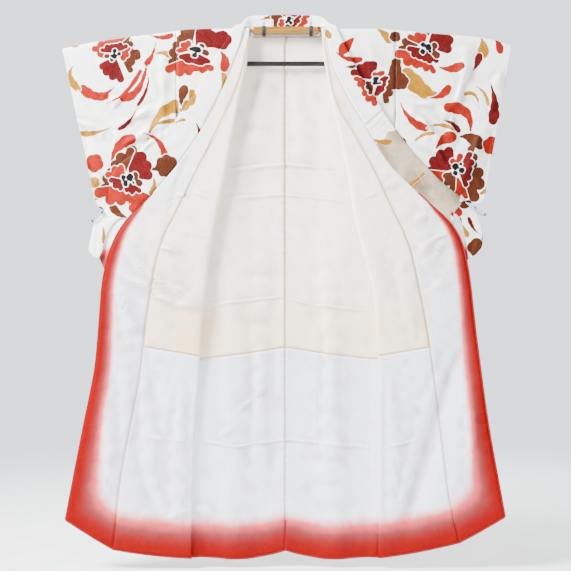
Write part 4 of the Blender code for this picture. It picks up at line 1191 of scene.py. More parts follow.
def flower(x, drop, size, turn, lead):
    """Shapes of one open flower: large scalloped petals, smaller ones over them and a dark middle."""
    first, second, third = (
        ("crimson", "orange", "brown"),
        ("crimson", "brown", "orange"),
        ("orange", "crimson", "brown"),
    )[lead]
    random = np.random.default_rng(int(1000 * abs(x) + 77 * abs(drop) * 100 + turn))
    # base, reach, angle, half spread, lobes, bend, colour
    petals = (
        (0.36, 0.98, 152, 25, 3, 0.14, third),
        (0.36, 1.06, 210, 28, 3, -0.20, second),
        (0.38, 0.90, 268, 24, 3, 0.18, second),
        (0.20, 1.06, 22, 40, 4, 0.18, first),
        (0.34, 0.94, 92, 26, 3, -0.18, third),
        (0.16, 0.64, 118, 32, 3, 0.22, second),
        (0.14, 0.60, 196, 34, 3, -0.20, first),
        (0.16, 0.60, 272, 30, 3, 0.22, first),
        (0.14, 0.50, 342, 28, 2, -0.18, third),
    )
    made = []
    for base, reach, angle, spread, lobes, bend, colour in petals:
        angle = math.radians(turn + angle + random.uniform(-9.0, 9.0))
        reach *= size * random.uniform(0.90, 1.08)
        spread = math.radians(spread * random.uniform(0.85, 1.1))
        made.append(("scallop", (x, drop), base * size, reach, angle, spread, lobes, bend, colour))
    for angle, out, radius in ((10, 0.10, 0.120), (125, 0.14, 0.090), (230, 0.15, 0.100), (310, 0.21, 0.060)):
        a = math.radians(turn + angle + random.uniform(-15.0, 15.0))
        place = (x + size * out * math.cos(a), drop - size * out * math.sin(a))
        made.append(("petal", place, radius * size, 4, a, "black"))
    return made


def motif_list(flowers, leaf_list, petals):
    shapes = [("leaf", *entry) for entry in leaf_list]
    for x, z, radius, lobes, turn, colour in petals:
        shapes.append(("petal", (x, z), radius, lobes, math.radians(turn), colour))
    for entry in flowers:
        shapes += flower(*entry)
    return shapes


def shape_reach(shape):
    """Middle and radius of the circle that holds a shape."""
    if shape[0] == "scallop":
        return shape[1], shape[3] * 1.25
    if shape[0] == "petal":
        return shape[1], shape[2] * 1.4
    points = np.array(shape[1:4])
    middle = points.mean(axis=0)
    return tuple(middle), float(np.linalg.norm(points - middle, axis=1).max()) + shape[4]


def tapered_distance(x, z, start, end, start_radius, end_radius):
    """Distance outside a bar with round ends of two sizes."""
    dx, dz = end[0] - start[0], end[1] - start[1]
    t = np.clip(((x - start[0]) * dx + (z - start[1]) * dz) / (dx * dx + dz * dz), 0.0, 1.0)
    radius = start_radius + (end_radius - start_radius) * t
    return np.hypot(x - start[0] - t * dx, z - start[1] - t * dz) - radius


def shape_distance(shape, x, z):
    """How far outside a shape each place is, with values below 0 inside."""
    if shape[0] == "scallop":
        _, (cx, cz), base, reach, angle, spread, lobes, bend, _ = shape
        root = (cx + base * math.cos(angle), cz - base * math.sin(angle))
        nearest = np.full(x.shape, 1.0)
        for k in range(lobes):
            t = (2.0 * k / (lobes - 1) - 1.0) * 0.8
            size = reach * math.sin(spread) / lobes * (1.16 - 0.2 * abs(t))
            out = reach * (1.0 + bend * t) - size
            tip = (cx + out * math.cos(angle + spread * t), cz - out * math.sin(angle + spread * t))
            nearest = np.minimum(nearest, tapered_distance(x, z, root, tip, 0.55 * size, size))
        return nearest
    if shape[0] == "petal":
        _, (cx, cz), size, lobes, angle, _ = shape
        turn = np.arctan2(-(z - cz), x - cx) - angle
        rim = size * (0.92 + 0.16 * np.abs(np.sin(0.5 * lobes * turn)) + 0.10 * np.cos(turn))
        return np.hypot(x - cx, z - cz) - rim
    _, start, middle, end, half, _ = shape
    nearest = np.full(x.shape, 1.0)
    for k in range(LEAF_STEPS + 1):
        t = k / LEAF_STEPS
        a, b, c = (1 - t) ** 2, 2 * t * (1 - t), t * t
        px = a * start[0] + b * middle[0] + c * end[0]
        pz = a * start[1] + b * middle[1] + c * end[1]
        width = LEAF_LEAST + LEAF_FULLNESS * half * (0.02 + 0.92 * min(1.0, t / 0.75) ** 1.2)
        width *= 1.0 - 0.12 * math.cos(26.0 * t)
        nearest = np.minimum(nearest, np.hypot(x - px, z - pz) - width)
    return nearest


def print_layers(x, z, shapes):
    """Distance outside each colour of the print, for places with flat coordinates x and z."""
    layers = {colour: np.full(x.shape, PRINT_FAR) for colour in PRINT_COLOURS}
    for shape in shapes:
        (cx, cz), reach = shape_reach(shape)
        reach += PRINT_FAR
        near = (np.abs(x - cx) < reach) & (np.abs(z - cz) < reach)
        if not near.any():
            continue
        away = np.clip(shape_distance(shape, x[near], z[near]), -PRINT_FAR, PRINT_FAR)
        for colour in PRINT_COLOURS:
            layer = layers[colour][near]
            if colour == shape[-1]:
                layers[colour][near] = np.minimum(layer, away)
            else:
                layers[colour][near] = np.maximum(layer, PRINT_GAP - away)
    return layers


def repeated_motifs(low, high):
    """The repeat's shapes over a box of flat coordinates, staggered from row to row."""
    shapes = []
    wide, tall = REPEAT
    for row in range(math.floor(low[1] / tall) - 1, math.ceil(high[1] / tall) + 1):
        shift = wide / 2 if row % 2 else 0.0
        for column in range(math.floor(low[0] / wide) - 1, math.ceil(high[0] / wide) + 1):
            dx, dz = column * wide + shift, row * tall
            turn = 47 * (row % 5) + 71 * (column % 3)

            def moved(x, z):
                return (wide - x if row % 2 else x) + dx, z + dz

            flowers = [(*moved(x, z), size, angle + turn, lead) for x, z, size, angle, lead in REPEAT_FLOWERS]
            leaf_list = []
            for *places, half, colour in REPEAT_LEAVES:
                leaf_list.append((*(moved(*place) for place in places), half, colour))
            petals = []
            for x, z, radius, lobes, angle, colour in REPEAT_PETALS:
                petals.append((*moved(x, z), radius, lobes, angle + turn, colour))
            shapes += motif_list(flowers, leaf_list, petals)
    return shapes


def front_print(grid):
    shapes = motif_list(FRONT_FLOWERS, FRONT_LEAVES, FRONT_PETALS)
    return print_layers(grid[..., 0], -grid[..., 2], shapes)


def repeat_print(grid, shift):
    x, z = grid[..., 0] + shift, -grid[..., 2] + 0.5 * shift
    low, high = (x.min(), z.min()), (x.max(), z.max())
    return print_layers(x, z, repeated_motifs(low, high))


def mix_prints(first, second, share):
    """First where share is true and second elsewhere, with no blend between."""
    return {colour: np.where(share, first[colour], second[colour]) for colour in PRINT_COLOURS}


# Meshes

def cloth_piece(name, grid, thickness, looks, ring=False, face=None, layers=None, tints=None, shade=None):
    """A cloth shell through a fine grid. face is (row, column, direction): that point's outer side looks
    that way and takes the first material, and the other side takes the second."""
    rows, columns = grid.shape[:2]
    flip = False
    if face is not None:
        i, j, direction = face
        across_step = grid[i, min(j + 1, columns - 1)] - grid[i, max(j - 1, 0)]
        down_step = grid[min(i + 1, rows - 1), j] - grid[max(i - 1, 0), j]
        flip = float(np.dot(np.cross(across_step, down_step), direction)) < 0.0
    cells = columns if ring else columns - 1
    bm = bmesh.new()
    bmesh.ops.create_grid(bm, x_segments=cells, y_segments=rows - 1, size=1.0)
    row_mark = bm.verts.layers.int.new("row")
    column_mark = bm.verts.layers.int.new("column")
    for vertex in bm.verts:
        i = round((vertex.co.y + 1.0) / 2.0 * (rows - 1))
        j = round((vertex.co.x + 1.0) / 2.0 * cells) % columns
        vertex[row_mark] = i
        vertex[column_mark] = j
        vertex.co = grid[i, j]
    if ring:
        bmesh.ops.remove_doubles(bm, verts=bm.verts, dist=MERGE)
    if flip:
        bmesh.ops.reverse_faces(bm, faces=bm.faces)
    mesh = bpy.data.meshes.new(name)
    bm.to_mesh(mesh)
    bm.free()
    count = len(mesh.vertices)
    i = np.zeros(count, np.int32)
    j = np.zeros(count, np.int32)
    mesh.attributes["row"].data.foreach_get("value", i)
    mesh.attributes["column"].data.foreach_get("value", j)
    for mark in ("row", "column"):
        mesh.attributes.remove(mesh.attributes[mark])
    u, v = along_rows(grid), along_columns(grid)
    corner = np.zeros(len(mesh.loops), np.int32)
    mesh.loops.foreach_get("vertex_index", corner)
    uv = np.stack([u[i, j][corner], v[i, j][corner]], axis=1)
    if ring:
        square = j[corner].reshape(-1, 4)
        wraps = (square.max(axis=1) - square.min(axis=1) > columns // 2)[:, None]
        first = (square == 0) & wraps
        girth = u[:, -1].mean() + float(np.linalg.norm(grid[0, 0] - grid[0, -1]))
        uv[:, 0] = np.where(first.reshape(-1), girth, uv[:, 0])
    made = mesh.uv_layers.new(name="Cut")
    made.data.foreach_set("uv", uv.astype(np.float32).ravel())
    # shade is the painted crease shade of each point, from 0 to 1
    shade = np.zeros(grid.shape[:2]) if shade is None else shade
    for values in (layers or {}), (tints or {}), {"crease": shade}:
        for key, value in values.items():
            attribute = mesh.attributes.new(key, "FLOAT", "POINT")
            attribute.data.foreach_set("value", value[i, j].astype(np.float32))
    mesh.shade_smooth()
    obj = bpy.data.objects.new(name, mesh)
    bpy.context.scene.collection.objects.link(obj)
    for look in looks:
        mesh.materials.append(look)
    wall = obj.modifiers.new("Wall", "SOLIDIFY")
    wall.thickness = thickness
    wall.offset = 0.0
    if len(looks) > 1:
        wall.material_offset = 1
        wall.material_offset_rim = 1
    return obj


def solid_piece(name, look, build, angle=35.0):
    """A piece from a bmesh that build fills in."""
    bm = bmesh.new()
    build(bm)
    bmesh.ops.recalc_face_normals(bm, faces=bm.faces)
    mesh = bpy.data.meshes.new(name)
    bm.to_mesh(mesh)
    bm.free()
    mesh.materials.append(look)
    mesh.shade_smooth()
    mesh.set_sharp_from_angle(angle=math.radians(angle))
    obj = bpy.data.objects.new(name, mesh)
    bpy.context.scene.collection.objects.link(obj)
    return obj


def printed_piece(node, name, grid, face, layers, ring=False):
    """Printed silk with a plain inner side, in the place of one of the part's nodes."""
    piece = cloth_piece(name, grid, sizes().cloth, (printed_silk(), silk_back()), ring=ring, face=face,
                        layers=layers, shade=SHADES[node])
    return settle(piece, "silk", node)


def settle(obj, slot, *nodes):
    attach(obj, "root")
    if nodes:
        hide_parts(*nodes)
    return obj


# Materials

def put(node, **values):
    """Sets a node's own inputs by name."""
    for name, value in values.items():
        node.inputs[name.replace("_", " ")].default_value = value


def once(kind):
    """Makes each material or shader group of a name only once."""
    def wrap(make):
        def keep(name, *values, **options):
            return getattr(bpy.data, kind).get(name) or make(name, *values, **options)
        return keep
    return wrap


def new_group(name, inputs, outputs):
    """A shader group with named numbers in and out."""
    group = bpy.data.node_groups.new(name, "ShaderNodeTree")
    for label, default in inputs:
        socket = group.interface.new_socket(name=label, in_out="INPUT", socket_type="NodeSocketFloat")
        socket.default_value = default
    for label in outputs:
        group.interface.new_socket(name=label, in_out="OUTPUT", socket_type="NodeSocketFloat")
    return group, group.nodes.new("NodeGroupInput"), group.nodes.new("NodeGroupOutput")


def new_look(name):
    """A new material with its node tree, its shader and the object's coordinates."""
    look = bpy.data.materials.new(name)
    look.use_nodes = True
    tree = look.node_tree
    return look, tree, tree.nodes["Principled BSDF"], tree.nodes.new("ShaderNodeTexCoord").outputs["Object"]


def finish(tree, shader, colour, rough, normal=None):
    """Links a material's colour, roughness and bumps to its shader."""
    tree.links.new(colour, shader.inputs["Base Color"])
    tree.links.new(rough, shader.inputs["Roughness"])
    if normal is not None:
        tree.links.new(normal, shader.inputs["Normal"])


def scaled(colour, factor, lift=0.0):
    """A colour made lighter or darker, and at most white."""
    return tuple(min(1.0, v * factor + lift) for v in colour[:3]) + (1.0,)


def math_node(tree, kind, first, second=None, clamp=False):
    node = tree.nodes.new("ShaderNodeMath")
    node.operation = kind
    node.use_clamp = clamp
    for socket, value in zip(node.inputs, (first, second)):
        if value is None:
            continue
        if isinstance(value, (int, float)):
            socket.default_value = value
        else:
            tree.links.new(value, socket)
    return node.outputs[0]


def times(tree, first, second):
    return math_node(tree, "MULTIPLY", first, second)


def bump(tree, height, strength, distance, under=None):
    node = tree.nodes.new("ShaderNodeBump")
    put(node, Strength=strength, Distance=distance)
    tree.links.new(height, node.inputs["Height"])
    if under is not None:
        tree.links.new(under, node.inputs["Normal"])
    return node.outputs[0]


def mix_colour(tree, share, first, second, blend="MIX"):
    node = tree.nodes.new("ShaderNodeMix")
    node.data_type = "RGBA"
    node.blend_type = blend
    for socket, value in zip((node.inputs[0], node.inputs[6], node.inputs[7]), (share, first, second)):
        if isinstance(value, (int, float)):
            socket.default_value = value
        elif isinstance(value, (tuple, list)) or hasattr(value, "__len__"):
            socket.default_value = tuple(value)
        else:
            tree.links.new(value, socket)
    return node.outputs[2]


def noise(tree, vector, scale, detail=3.0, roughness=0.5, distortion=0.0):
    node = tree.nodes.new("ShaderNodeTexNoise")
    tree.links.new(vector, node.inputs["Vector"])
    put(node, Detail=detail, Roughness=roughness, Distortion=distortion)
    if isinstance(scale, float):
        put(node, Scale=scale)
    else:
        tree.links.new(scale, node.inputs["Scale"])
    return node.outputs["Fac"]


@once("node_groups")
def weave_group(name):
    """Threads of silk: a height for bumps and a shade for colour, on a piece's own cut coordinates."""
    inputs = (("Thread", 1400.0), ("Crepe", 0.5), ("Slub", 0.3))
    group, start, end = new_group(name, inputs, ("Height", "Shade"))
    place = group.nodes.new("ShaderNodeTexCoord").outputs["UV"]
    threads = []
    for turn in (0.0, math.pi / 2):
        mapping = group.nodes.new("ShaderNodeMapping")
        put(mapping, Rotation=(0.0, 0.0, turn))
        group.links.new(place, mapping.inputs["Vector"])
        wave = group.nodes.new("ShaderNodeTexWave")
        put(wave, Distortion=1.2, Detail=1.0)
        group.links.new(mapping.outputs[0], wave.inputs["Vector"])
        group.links.new(start.outputs["Thread"], wave.inputs["Scale"])
        threads.append(wave.outputs["Fac"])
    weave = times(group, *threads)
    grain = noise(group, place, times(group, start.outputs["Thread"], 0.55), 2.0)
    crepe = times(group, grain, start.outputs["Crepe"])
    slubs = group.nodes.new("ShaderNodeMapping")
    put(slubs, Scale=(8.0, 260.0, 1.0))
    group.links.new(place, slubs.inputs["Vector"])
    slub = times(group, noise(group, slubs.outputs[0], 1.0, 2.0), start.outputs["Slub"])
    height = math_node(group, "ADD", times(group, weave, 0.5), crepe)
    group.links.new(math_node(group, "ADD", height, slub), end.inputs["Height"])
    shade = math_node(group, "ADD", times(group, grain, 0.5), times(group, slub, 1.2))
    group.links.new(shade, end.inputs["Shade"])
    return group


@once("node_groups")
def rumple_group(name):
    """Fine creases of handled silk: ridges that branch, on object coordinates."""
    group, start, end = new_group(name, (("Size", 14.0), ("Sharpness", 0.6)), ("Height", "Mask"))
    place = group.nodes.new("ShaderNodeTexCoord").outputs["Object"]
    wide = noise(group, place, start.outputs["Size"], 3.0, 0.55, 0.6)
    ridge = math_node(group, "ABSOLUTE", math_node(group, "SUBTRACT", wide, 0.5))
    ridge = math_node(group, "SUBTRACT", 0.25, ridge, clamp=True)
    ridge = times(group, ridge, start.outputs["Sharpness"])
    soft = noise(group, place, times(group, start.outputs["Size"], 0.4), 2.0, 0.5, 0.3)
    group.links.new(math_node(group, "ADD", ridge, soft), end.inputs["Height"])
    group.links.new(soft, end.inputs["Mask"])
    return group


def use_group(tree, group, **values):
    node = tree.nodes.new("ShaderNodeGroup")
    node.node_tree = group
    put(node, **values)
    return node


def attribute_value(tree, name):
    node = tree.nodes.new("ShaderNodeAttribute")
    node.attribute_type = "GEOMETRY"
    node.attribute_name = name
    return node.outputs["Fac"]


def ranged(tree, value, low, high, to_low=0.0, to_high=1.0):
    node = tree.nodes.new("ShaderNodeMapRange")
    node.interpolation_type = "SMOOTHSTEP"
    tree.links.new(value, node.inputs["Value"])
    put(node, From_Min=low, From_Max=high, To_Min=to_low, To_Max=to_high)
    return node.outputs["Result"]


def with_print(tree, base, place):
    """The colours of the print over a ground, a little uneven as ink on cloth is."""
    ink = noise(tree, place, 420.0, 2.0)
    patch = noise(tree, place, 60.0, 3.0)
    for key in PRINT_COLOURS:
        full = tuple(getattr(colours(), key))
        pale = tuple(v + (1.0 - v) * 0.03 for v in full[:3]) + (1.0,)
        tone = mix_colour(tree, ranged(tree, patch, 0.35, 0.65), scaled(full, 0.74), full)
        tone = mix_colour(tree, ranged(tree, ink, 0.45, 0.75, 0.0, 0.5), tone, pale)
        base = mix_colour(tree, ranged(tree, attribute_value(tree, key), PRINT_EDGE, -PRINT_EDGE), base, tone)
    return base


def with_dye(tree, base, place):
    """White that turns through pink to red toward the dyed edges, with an uneven border."""
    wander = times(tree, math_node(tree, "SUBTRACT", noise(tree, place, 26.0, 5.0, 0.65), 0.5), DYE_WANDER)
    depth = math_node(tree, "ADD", attribute_value(tree, "dye"), wander)
    ramp = tree.nodes.new("ShaderNodeValToRGB")
    ramp.color_ramp.interpolation = "B_SPLINE"
    stops = ramp.color_ramp.elements
    stops[1].position = DYE_FULL
    stops.new(DYE_MIDDLE)
    for stop, grey in zip(stops, (0.0, 0.42, 1.0)):
        stop.color = (grey, grey, grey, 1.0)
    tree.links.new(depth, ramp.inputs["Fac"])
    tone = mix_colour(tree, ranged(tree, depth, 0.27, 0.50), paint(196, 10, 8), tuple(colours().red))
    tone = mix_colour(tree, ranged(tree, depth, 0.10, 0.28), paint(252, 26, 26), tone)
    return mix_colour(tree, ramp.outputs["Color"], base, tone)


@once("materials")
def silk_material(name, ground, thread, rough, bumps, crepe=0.2, slub=0.3, sheen=0.3, gloss=0.25,
                  printed=False, dyed=False, painted_seam_shade=None, aged=None):
    """Silk with its weave, handling creases and painted shade in the troughs of creases, and print, a dyed
    edge, painted shade along seams or age tones if asked.
    bumps gives the strength of the weave's bumps and of the creases'."""
    look, tree, shader, place = new_look(name)
    weave = use_group(tree, weave_group("silk_weave"), Thread=thread, Crepe=crepe, Slub=slub)
    creased = use_group(tree, rumple_group("silk_rumple"), Size=11.0, Sharpness=0.7)
    base = mix_colour(tree, weave.outputs["Shade"], scaled(ground, 1.02), scaled(ground, 0.93))
    if aged is not None:
        cloud = ranged(tree, noise(tree, place, 4.5, 4.0, 0.6, 0.4), 0.30, 0.70, 0.35, 1.0)
        base = mix_colour(tree, times(tree, cloud, attribute_value(tree, "age")), base, aged)
    # Painted shade along the seams, in the tone each lining gives
    if painted_seam_shade is not None:
        near = ranged(tree, attribute_value(tree, "seam"), 0.25, 1.0)
        base = mix_colour(tree, times(tree, near, 0.85), base, painted_seam_shade)
    # Painted shade in the troughs of creases, as a darker tone of the ground
    painted_trough_shade = tuple(v * k for v, k in zip(ground[:3], PAINTED_SHADE_TINT)) + (1.0,)
    base = mix_colour(tree, times(tree, attribute_value(tree, "crease"), PAINTED_SHADE_SHARE), base, painted_trough_shade)
    if printed:
        base = with_print(tree, base, place)
    if dyed:
        base = with_dye(tree, base, place)
    put(shader, Sheen_Weight=sheen, Sheen_Roughness=0.4, Specular_IOR_Level=gloss)
    fine = bump(tree, weave.outputs["Height"], bumps[0], 0.0002)
    wide = bump(tree, creased.outputs["Height"], bumps[1], 0.012, fine)
    finish(tree, shader, base, ranged(tree, weave.outputs["Shade"], 0.1, 0.9, *rough), wide)
    return look


def printed_silk():
    return silk_material("printed_silk", colours().silk, 1150.0, (0.62, 0.8), (0.4, 0.5), crepe=0.8,
                         sheen=0.03, gloss=0.08, printed=True)


def silk_back():
    """The plain side of the cloth, inside the sleeves and the collar."""
    return silk_material("silk_inside", paint(240, 236, 231), 1500.0, (0.45, 0.62), (0.2, 0.4), crepe=0.3)


def body_lining_silk():
    return silk_material("body_lining_silk", colours().lining, 1600.0, (0.42, 0.6), (0.2, 0.45), slub=0.45,
                         painted_seam_shade=paint(206, 160, 118), aged=paint(248, 218, 172))


def skirt_lining_silk():
    return silk_material("skirt_lining_silk", colours().skirt, 1300.0, (0.34, 0.5), (0.25, 0.7), crepe=0.15,
                         slub=0.5, sheen=0.0, gloss=0.05, dyed=True, painted_seam_shade=paint(206, 202, 200),
                         aged=paint(250, 240, 226))


def dyed_roll_silk():
    return silk_material("hem_roll_silk", colours().red, 1300.0, (0.4, 0.55), (0.3, 0.3), sheen=0.03)


@once("materials")
def collar_silk(name):
    """Printed collar whose wide end is opened on one side, where its plain lining shows in dark brown-grey:
    partly the lining's own tone and partly painted shade.
    """
    look = printed_silk().copy()
    look.name = name
    tree = look.node_tree
    socket = tree.nodes["Principled BSDF"].inputs["Base Color"]
    printed = socket.links[0].from_socket
    shown = ranged(tree, attribute_value(tree, "opened"), 0.4, 0.6)
    no_leaf = ranged(tree, attribute_value(tree, "gold"), PRINT_EDGE, -PRINT_EDGE, 1.0, 0.0)
    shown = times(tree, shown, no_leaf)
    place = tree.nodes.new("ShaderNodeTexCoord").outputs["Object"]
    # The opened lining's colour: its own satin tone darkened by painted shade
    patch = ranged(tree, noise(tree, place, 14.0, 3.0, 0.55, 0.4), 0.35, 0.65)
    satin_in_painted_shade = mix_colour(tree, patch, paint(128, 112, 92), paint(176, 160, 138))
    tree.links.new(mix_colour(tree, shown, printed, satin_in_painted_shade), socket)
    return look


@once("materials")
def thread_material(name, colour):
    look, tree, shader, place = new_look(name)
    twist = noise(tree, place, 2600.0, 2.0)
    finish(tree, shader, mix_colour(tree, twist, scaled(colour, 0.7), colour),
           ranged(tree, twist, 0.2, 0.8, 0.5, 0.75))
    return look


@once("materials")
def bamboo_material(name):
    look, tree, shader, place = new_look(name)
    stretch = tree.nodes.new("ShaderNodeMapping")
    put(stretch, Scale=(9.0, 260.0, 260.0))
    tree.links.new(place, stretch.inputs["Vector"])
    fibre = noise(tree, stretch.outputs[0], 1.0, 4.0, 0.6)
    base = tuple(colours().bamboo)
    colour = mix_colour(tree, ranged(tree, fibre, 0.35, 0.7), scaled(base, 0.5), base)
    mottled = ranged(tree, noise(tree, place, 22.0, 4.0, 0.6), 0.5, 0.75)
    colour = mix_colour(tree, times(tree, mottled, 0.45), colour, paint(150, 92, 34))
    put(shader, Coat_Weight=0.5, Coat_Roughness=0.12)
    finish(tree, shader, colour, ranged(tree, fibre, 0.2, 0.8, 0.22, 0.4), bump(tree, fibre, 0.2, 0.0003))
    return look


@once("materials")
def plain_material(name, colour, rough, scale=300.0, strength=0.1):
    look, tree, shader, place = new_look(name)
    speck = noise(tree, place, scale, 4.0, 0.6)
    finish(tree, shader, mix_colour(tree, speck, scaled(colour, 0.85), scaled(colour, 1.15, 0.004)),
           ranged(tree, speck, 0.25, 0.75, *rough), bump(tree, speck, strength, 0.0003))
    return look


# Shaped grids, kept so that hems and stitches follow the same cloth

SHAPED = {}
# Painted crease shade of each piece
SHADES = {}


def front_columns(where):
    under = len(UNDER_SHARES) - 1
    return where[under], where[len(UNDER_SHARES) + len(ROLL_SHARES) - 1]


def cover_rows(count):
    """The coarse collar rows at the two ends of its cover."""
    ends = cover_ends()
    return ends, count - ends - 1


def beside_seam(share, sign):
    """Gives the share where a piece ends, half the seam's gap to one side of the seam."""
    return lambda side, s: share(side, s) + sign * seam_step(side, s)


def coarse_grid(family, side):
    """Points of a cloth piece as the part's own tables give them."""
    rows = FRONT_STATIONS
    upper = tuple(s for s in rows if LINING_FROM < s < FRONT_LINING_SEAM) + (FRONT_LINING_SEAM - GAP / 2,)
    lower = (FRONT_LINING_SEAM + GAP / 2,) + tuple(s for s in rows if s > FRONT_LINING_SEAM)
    okumi_rows = [s for s in rows if s > KENSAKI]
    okumi_lining_rows = [s for s in rows if s > OKUMI_LINING_FROM]
    back_rows = BACK_BEND_ROWS + BACK_UPPER_ROWS + (1.0,) + BACK_LOWER_ROWS
    half = GAP / 2 / BACK_UPPER_LENGTH
    build, *values = {
        "front": (front_grid, side, rows, 0.0, beside_seam(outer_seam_share, -1.0)),
        "body_lining_front": (front_grid, side, upper, LINING_OFF, beside_seam(seam_share, -1.0)),
        "skirt_lining_front": (front_grid, side, lower, LINING_OFF, beside_seam(seam_share, -1.0)),
        "okumi": (okumi_grid, side, okumi_rows, 0.0, beside_seam(outer_seam_share, 1.0)),
        "okumi_lining": (okumi_grid, side, okumi_lining_rows, LINING_OFF, beside_seam(seam_share, 1.0)),
        "back": (back_grid, side, back_rows, 0.0),
        "body_lining_back": (back_grid, side, BACK_UPPER_ROWS + (1.0 - half,), -LINING_OFF),
        "skirt_lining_back": (back_grid, side, (1.0 + half,) + BACK_LOWER_ROWS, -LINING_OFF),
        "sleeve": (sleeve_grid, side),
        "collar": (collar_grid,),
        "collar_cover": (cover_grid,),
    }[family]
    return build(*values)


def shaped(name):
    """The fine grid of a cloth piece, and where its coarse rows and columns are."""
    if name in SHAPED:
        return SHAPED[name]
    side = "left" if name.endswith("left") else "right"
    family = name.removesuffix("_left").removesuffix("_right")
    step = sizes().lining_step if "lining" in name else sizes().cloth_step
    down, across = STEP_SHARES.get(family, (1.0, 1.0))
    coarse = coarse_grid(family, side)
    if family == "sleeve":
        coarse = np.concatenate([coarse, coarse[:, :1]], axis=1)
    top_step = 0.8 * step if family == "front" else None
    plain, at_rows, at_columns = finer(coarse, down * step, across * step, top_step)
    if family == "sleeve":
        plain = plain[:, :-1]
        grid = shape_sleeve(plain, side, at_columns[len(SLEEVE_STEPS) + 1])
    elif "back" in family:
        grid = shape_back(plain, side)
    elif "front" in family:
        grid = shape_front(plain, side, front_columns(at_columns))
    elif "okumi" in family:
        grid = raise_cloth(plain, turned_height(plain, side))
    elif family == "collar":
        grid = shape_collar(plain, [at_rows[k] for k in cover_rows(len(coarse))])
    else:
        grid = plain
    # Height toward the side that is seen, from which the painted crease shade is found
    raised = plain[..., 1] - grid[..., 1]
    if family == "sleeve":
        raised = np.abs(raised)
    elif family in ("back", "okumi"):
        raised = -raised
    elif family == "front":
        turned = np.arange(grid.shape[1])[None, :] > front_columns(at_columns)[1]
        raised = np.where(turned, -raised, raised)
    SHAPED[name] = (grid, at_rows, at_columns)
    SHADES[name] = crease_shade(raised)
    return SHAPED[name]


def grids(side, *names):
    """The fine grids of several pieces of one side."""
    return [shaped(f"{name}_{side}")[0] for name in names]


def seam_shade(grid, edges, reach=0.007):
    """Share of the painted shade along seams: 1 on the seams and 0 beyond their reach. edges names the grid's
    sides: first, last or bottom.
    """
    cross, down = along_rows(grid), along_columns(grid)
    away = {"first": cross, "last": cross[:, -1:] - cross, "bottom": down[-1:] - down}
    nearest = np.minimum.reduce([away[edge] for edge in edges])
    return np.exp(-((nearest / reach) ** 2))


def age_shade(grid, side):
    """How far the old lining has yellowed: most above its lower seam and beside its side seams."""
    x, drop = np.abs(grid[..., 0]), -grid[..., 2]
    low = smooth((drop - AGE_FROM) / AGE_FADE)
    beside = np.exp(-(((side_out(side, drop) - x) / AGE_BESIDE) ** 2))
    return np.clip(AGE[0] + AGE[1] * low + AGE[2] * beside * smooth((drop - 0.15) / 0.3), 0.0, 1.0)


def dye_depth(grid, free_edge):
    """1 at the dyed edges and 0 where the dye ends, wide at the hem and narrow up the front edge."""
    cross, down = along_rows(grid), along_columns(grid)
    near = (HEM_DYE / np.maximum(down[-1:] - down, LEAST_AWAY)) ** 3
    if free_edge:
        drop = -grid[..., 2]
        width = np.interp(drop, EDGE_DYE_DROPS, EDGE_DYE)
        beside = (width / np.maximum(cross[:, -1:] - cross, LEAST_AWAY)) ** 3
        near = near + beside * smooth((drop - EDGE_DYE_FROM) / EDGE_DYE_FADE)
    ratio = np.maximum(near, 1e-6) ** (-1.0 / 3.0)
    return np.clip(1.0 - ratio, 0.0, 1.0)


# Pieces

class KIMONO_OT_outer_cloth(bpy.types.Operator):
    """Back, front and okumi panels of printed silk"""

    bl_idname = "kimono.outer_cloth"
    bl_label = "Outer cloth"

    def execute(self, context):
        for side, sign in SIGN.items():
            grid = shaped(f"back_{side}")[0]
            middle = (grid.shape[0] // 2, grid.shape[1] // 2)
            back = printed_piece(f"back_{side}", f"back_cloth_{side}", grid, (*middle, BACKWARD),
                                 repeat_print(grid, REPEAT_SHIFT["back"]))
            grid, _, columns = shaped(f"front_{side}")
            turned = np.arange(grid.shape[1])[None, :] > sum(front_columns(columns)) / 2
            layers = mix_prints(repeat_print(grid, REPEAT_SHIFT["front"]), front_print(grid), turned)
            front = printed_piece(f"front_{side}", f"front_cloth_{side}", grid, (10, 2, FORWARD), layers)
            grid = shaped(f"okumi_{side}")[0]
            middle = (grid.shape[0] // 2, grid.shape[1] // 2)
            okumi = printed_piece(f"okumi_{side}", f"okumi_cloth_{side}", grid, (*middle, BACKWARD),
                                  repeat_print(grid, REPEAT_SHIFT["okumi"] + OKUMI_SHIFT * sign))
        return {"FINISHED"}


def lining_piece(name, side, slot, look, cut, **tints):
    grid = shaped(name)[0]
    piece = cloth_piece(name + "_silk", grid, sizes().lining, (look,), tints=tints, shade=SHADES[name])
    settle(piece, slot, name)


class KIMONO_OT_linings(bpy.types.Operator):
    """Body lining, and skirt lining with its dyed hem"""

    bl_idname = "kimono.linings"
    bl_label = "Linings"

    def execute(self, context):
        for side in SIGN:
            for name, edges, cut in (
                (f"body_lining_back_{side}", ("first", "bottom", "last"), (0.320, 0.955)),
                (f"body_lining_front_{side}", ("last", "bottom"), (0.330, 0.955)),
            ):
                grid = shaped(name)[0]
                lining_piece(name, side, "lining", body_lining_silk(), cut,
                             seam=seam_shade(grid, edges), age=age_shade(grid, side))
            for name, edges, free_edge, cut in (
                (f"skirt_lining_back_{side}", ("first", "last"), False, (0.320, 0.620)),
                (f"skirt_lining_front_{side}", ("first", "last"), False, (0.300, 0.620)),
                (f"okumi_lining_{side}", ("first",), True, (0.200, 1.480)),
            ):
                grid = shaped(name)[0]
                lining_piece(name, side, "skirt_lining", skirt_lining_silk(), cut,
                             dye=dye_depth(grid, free_edge), seam=seam_shade(grid, edges),
                             age=1.0 - smooth((-grid[..., 2] - SKIRT_AGE_FROM) / SKIRT_AGE_FADE))
        return {"FINISHED"}


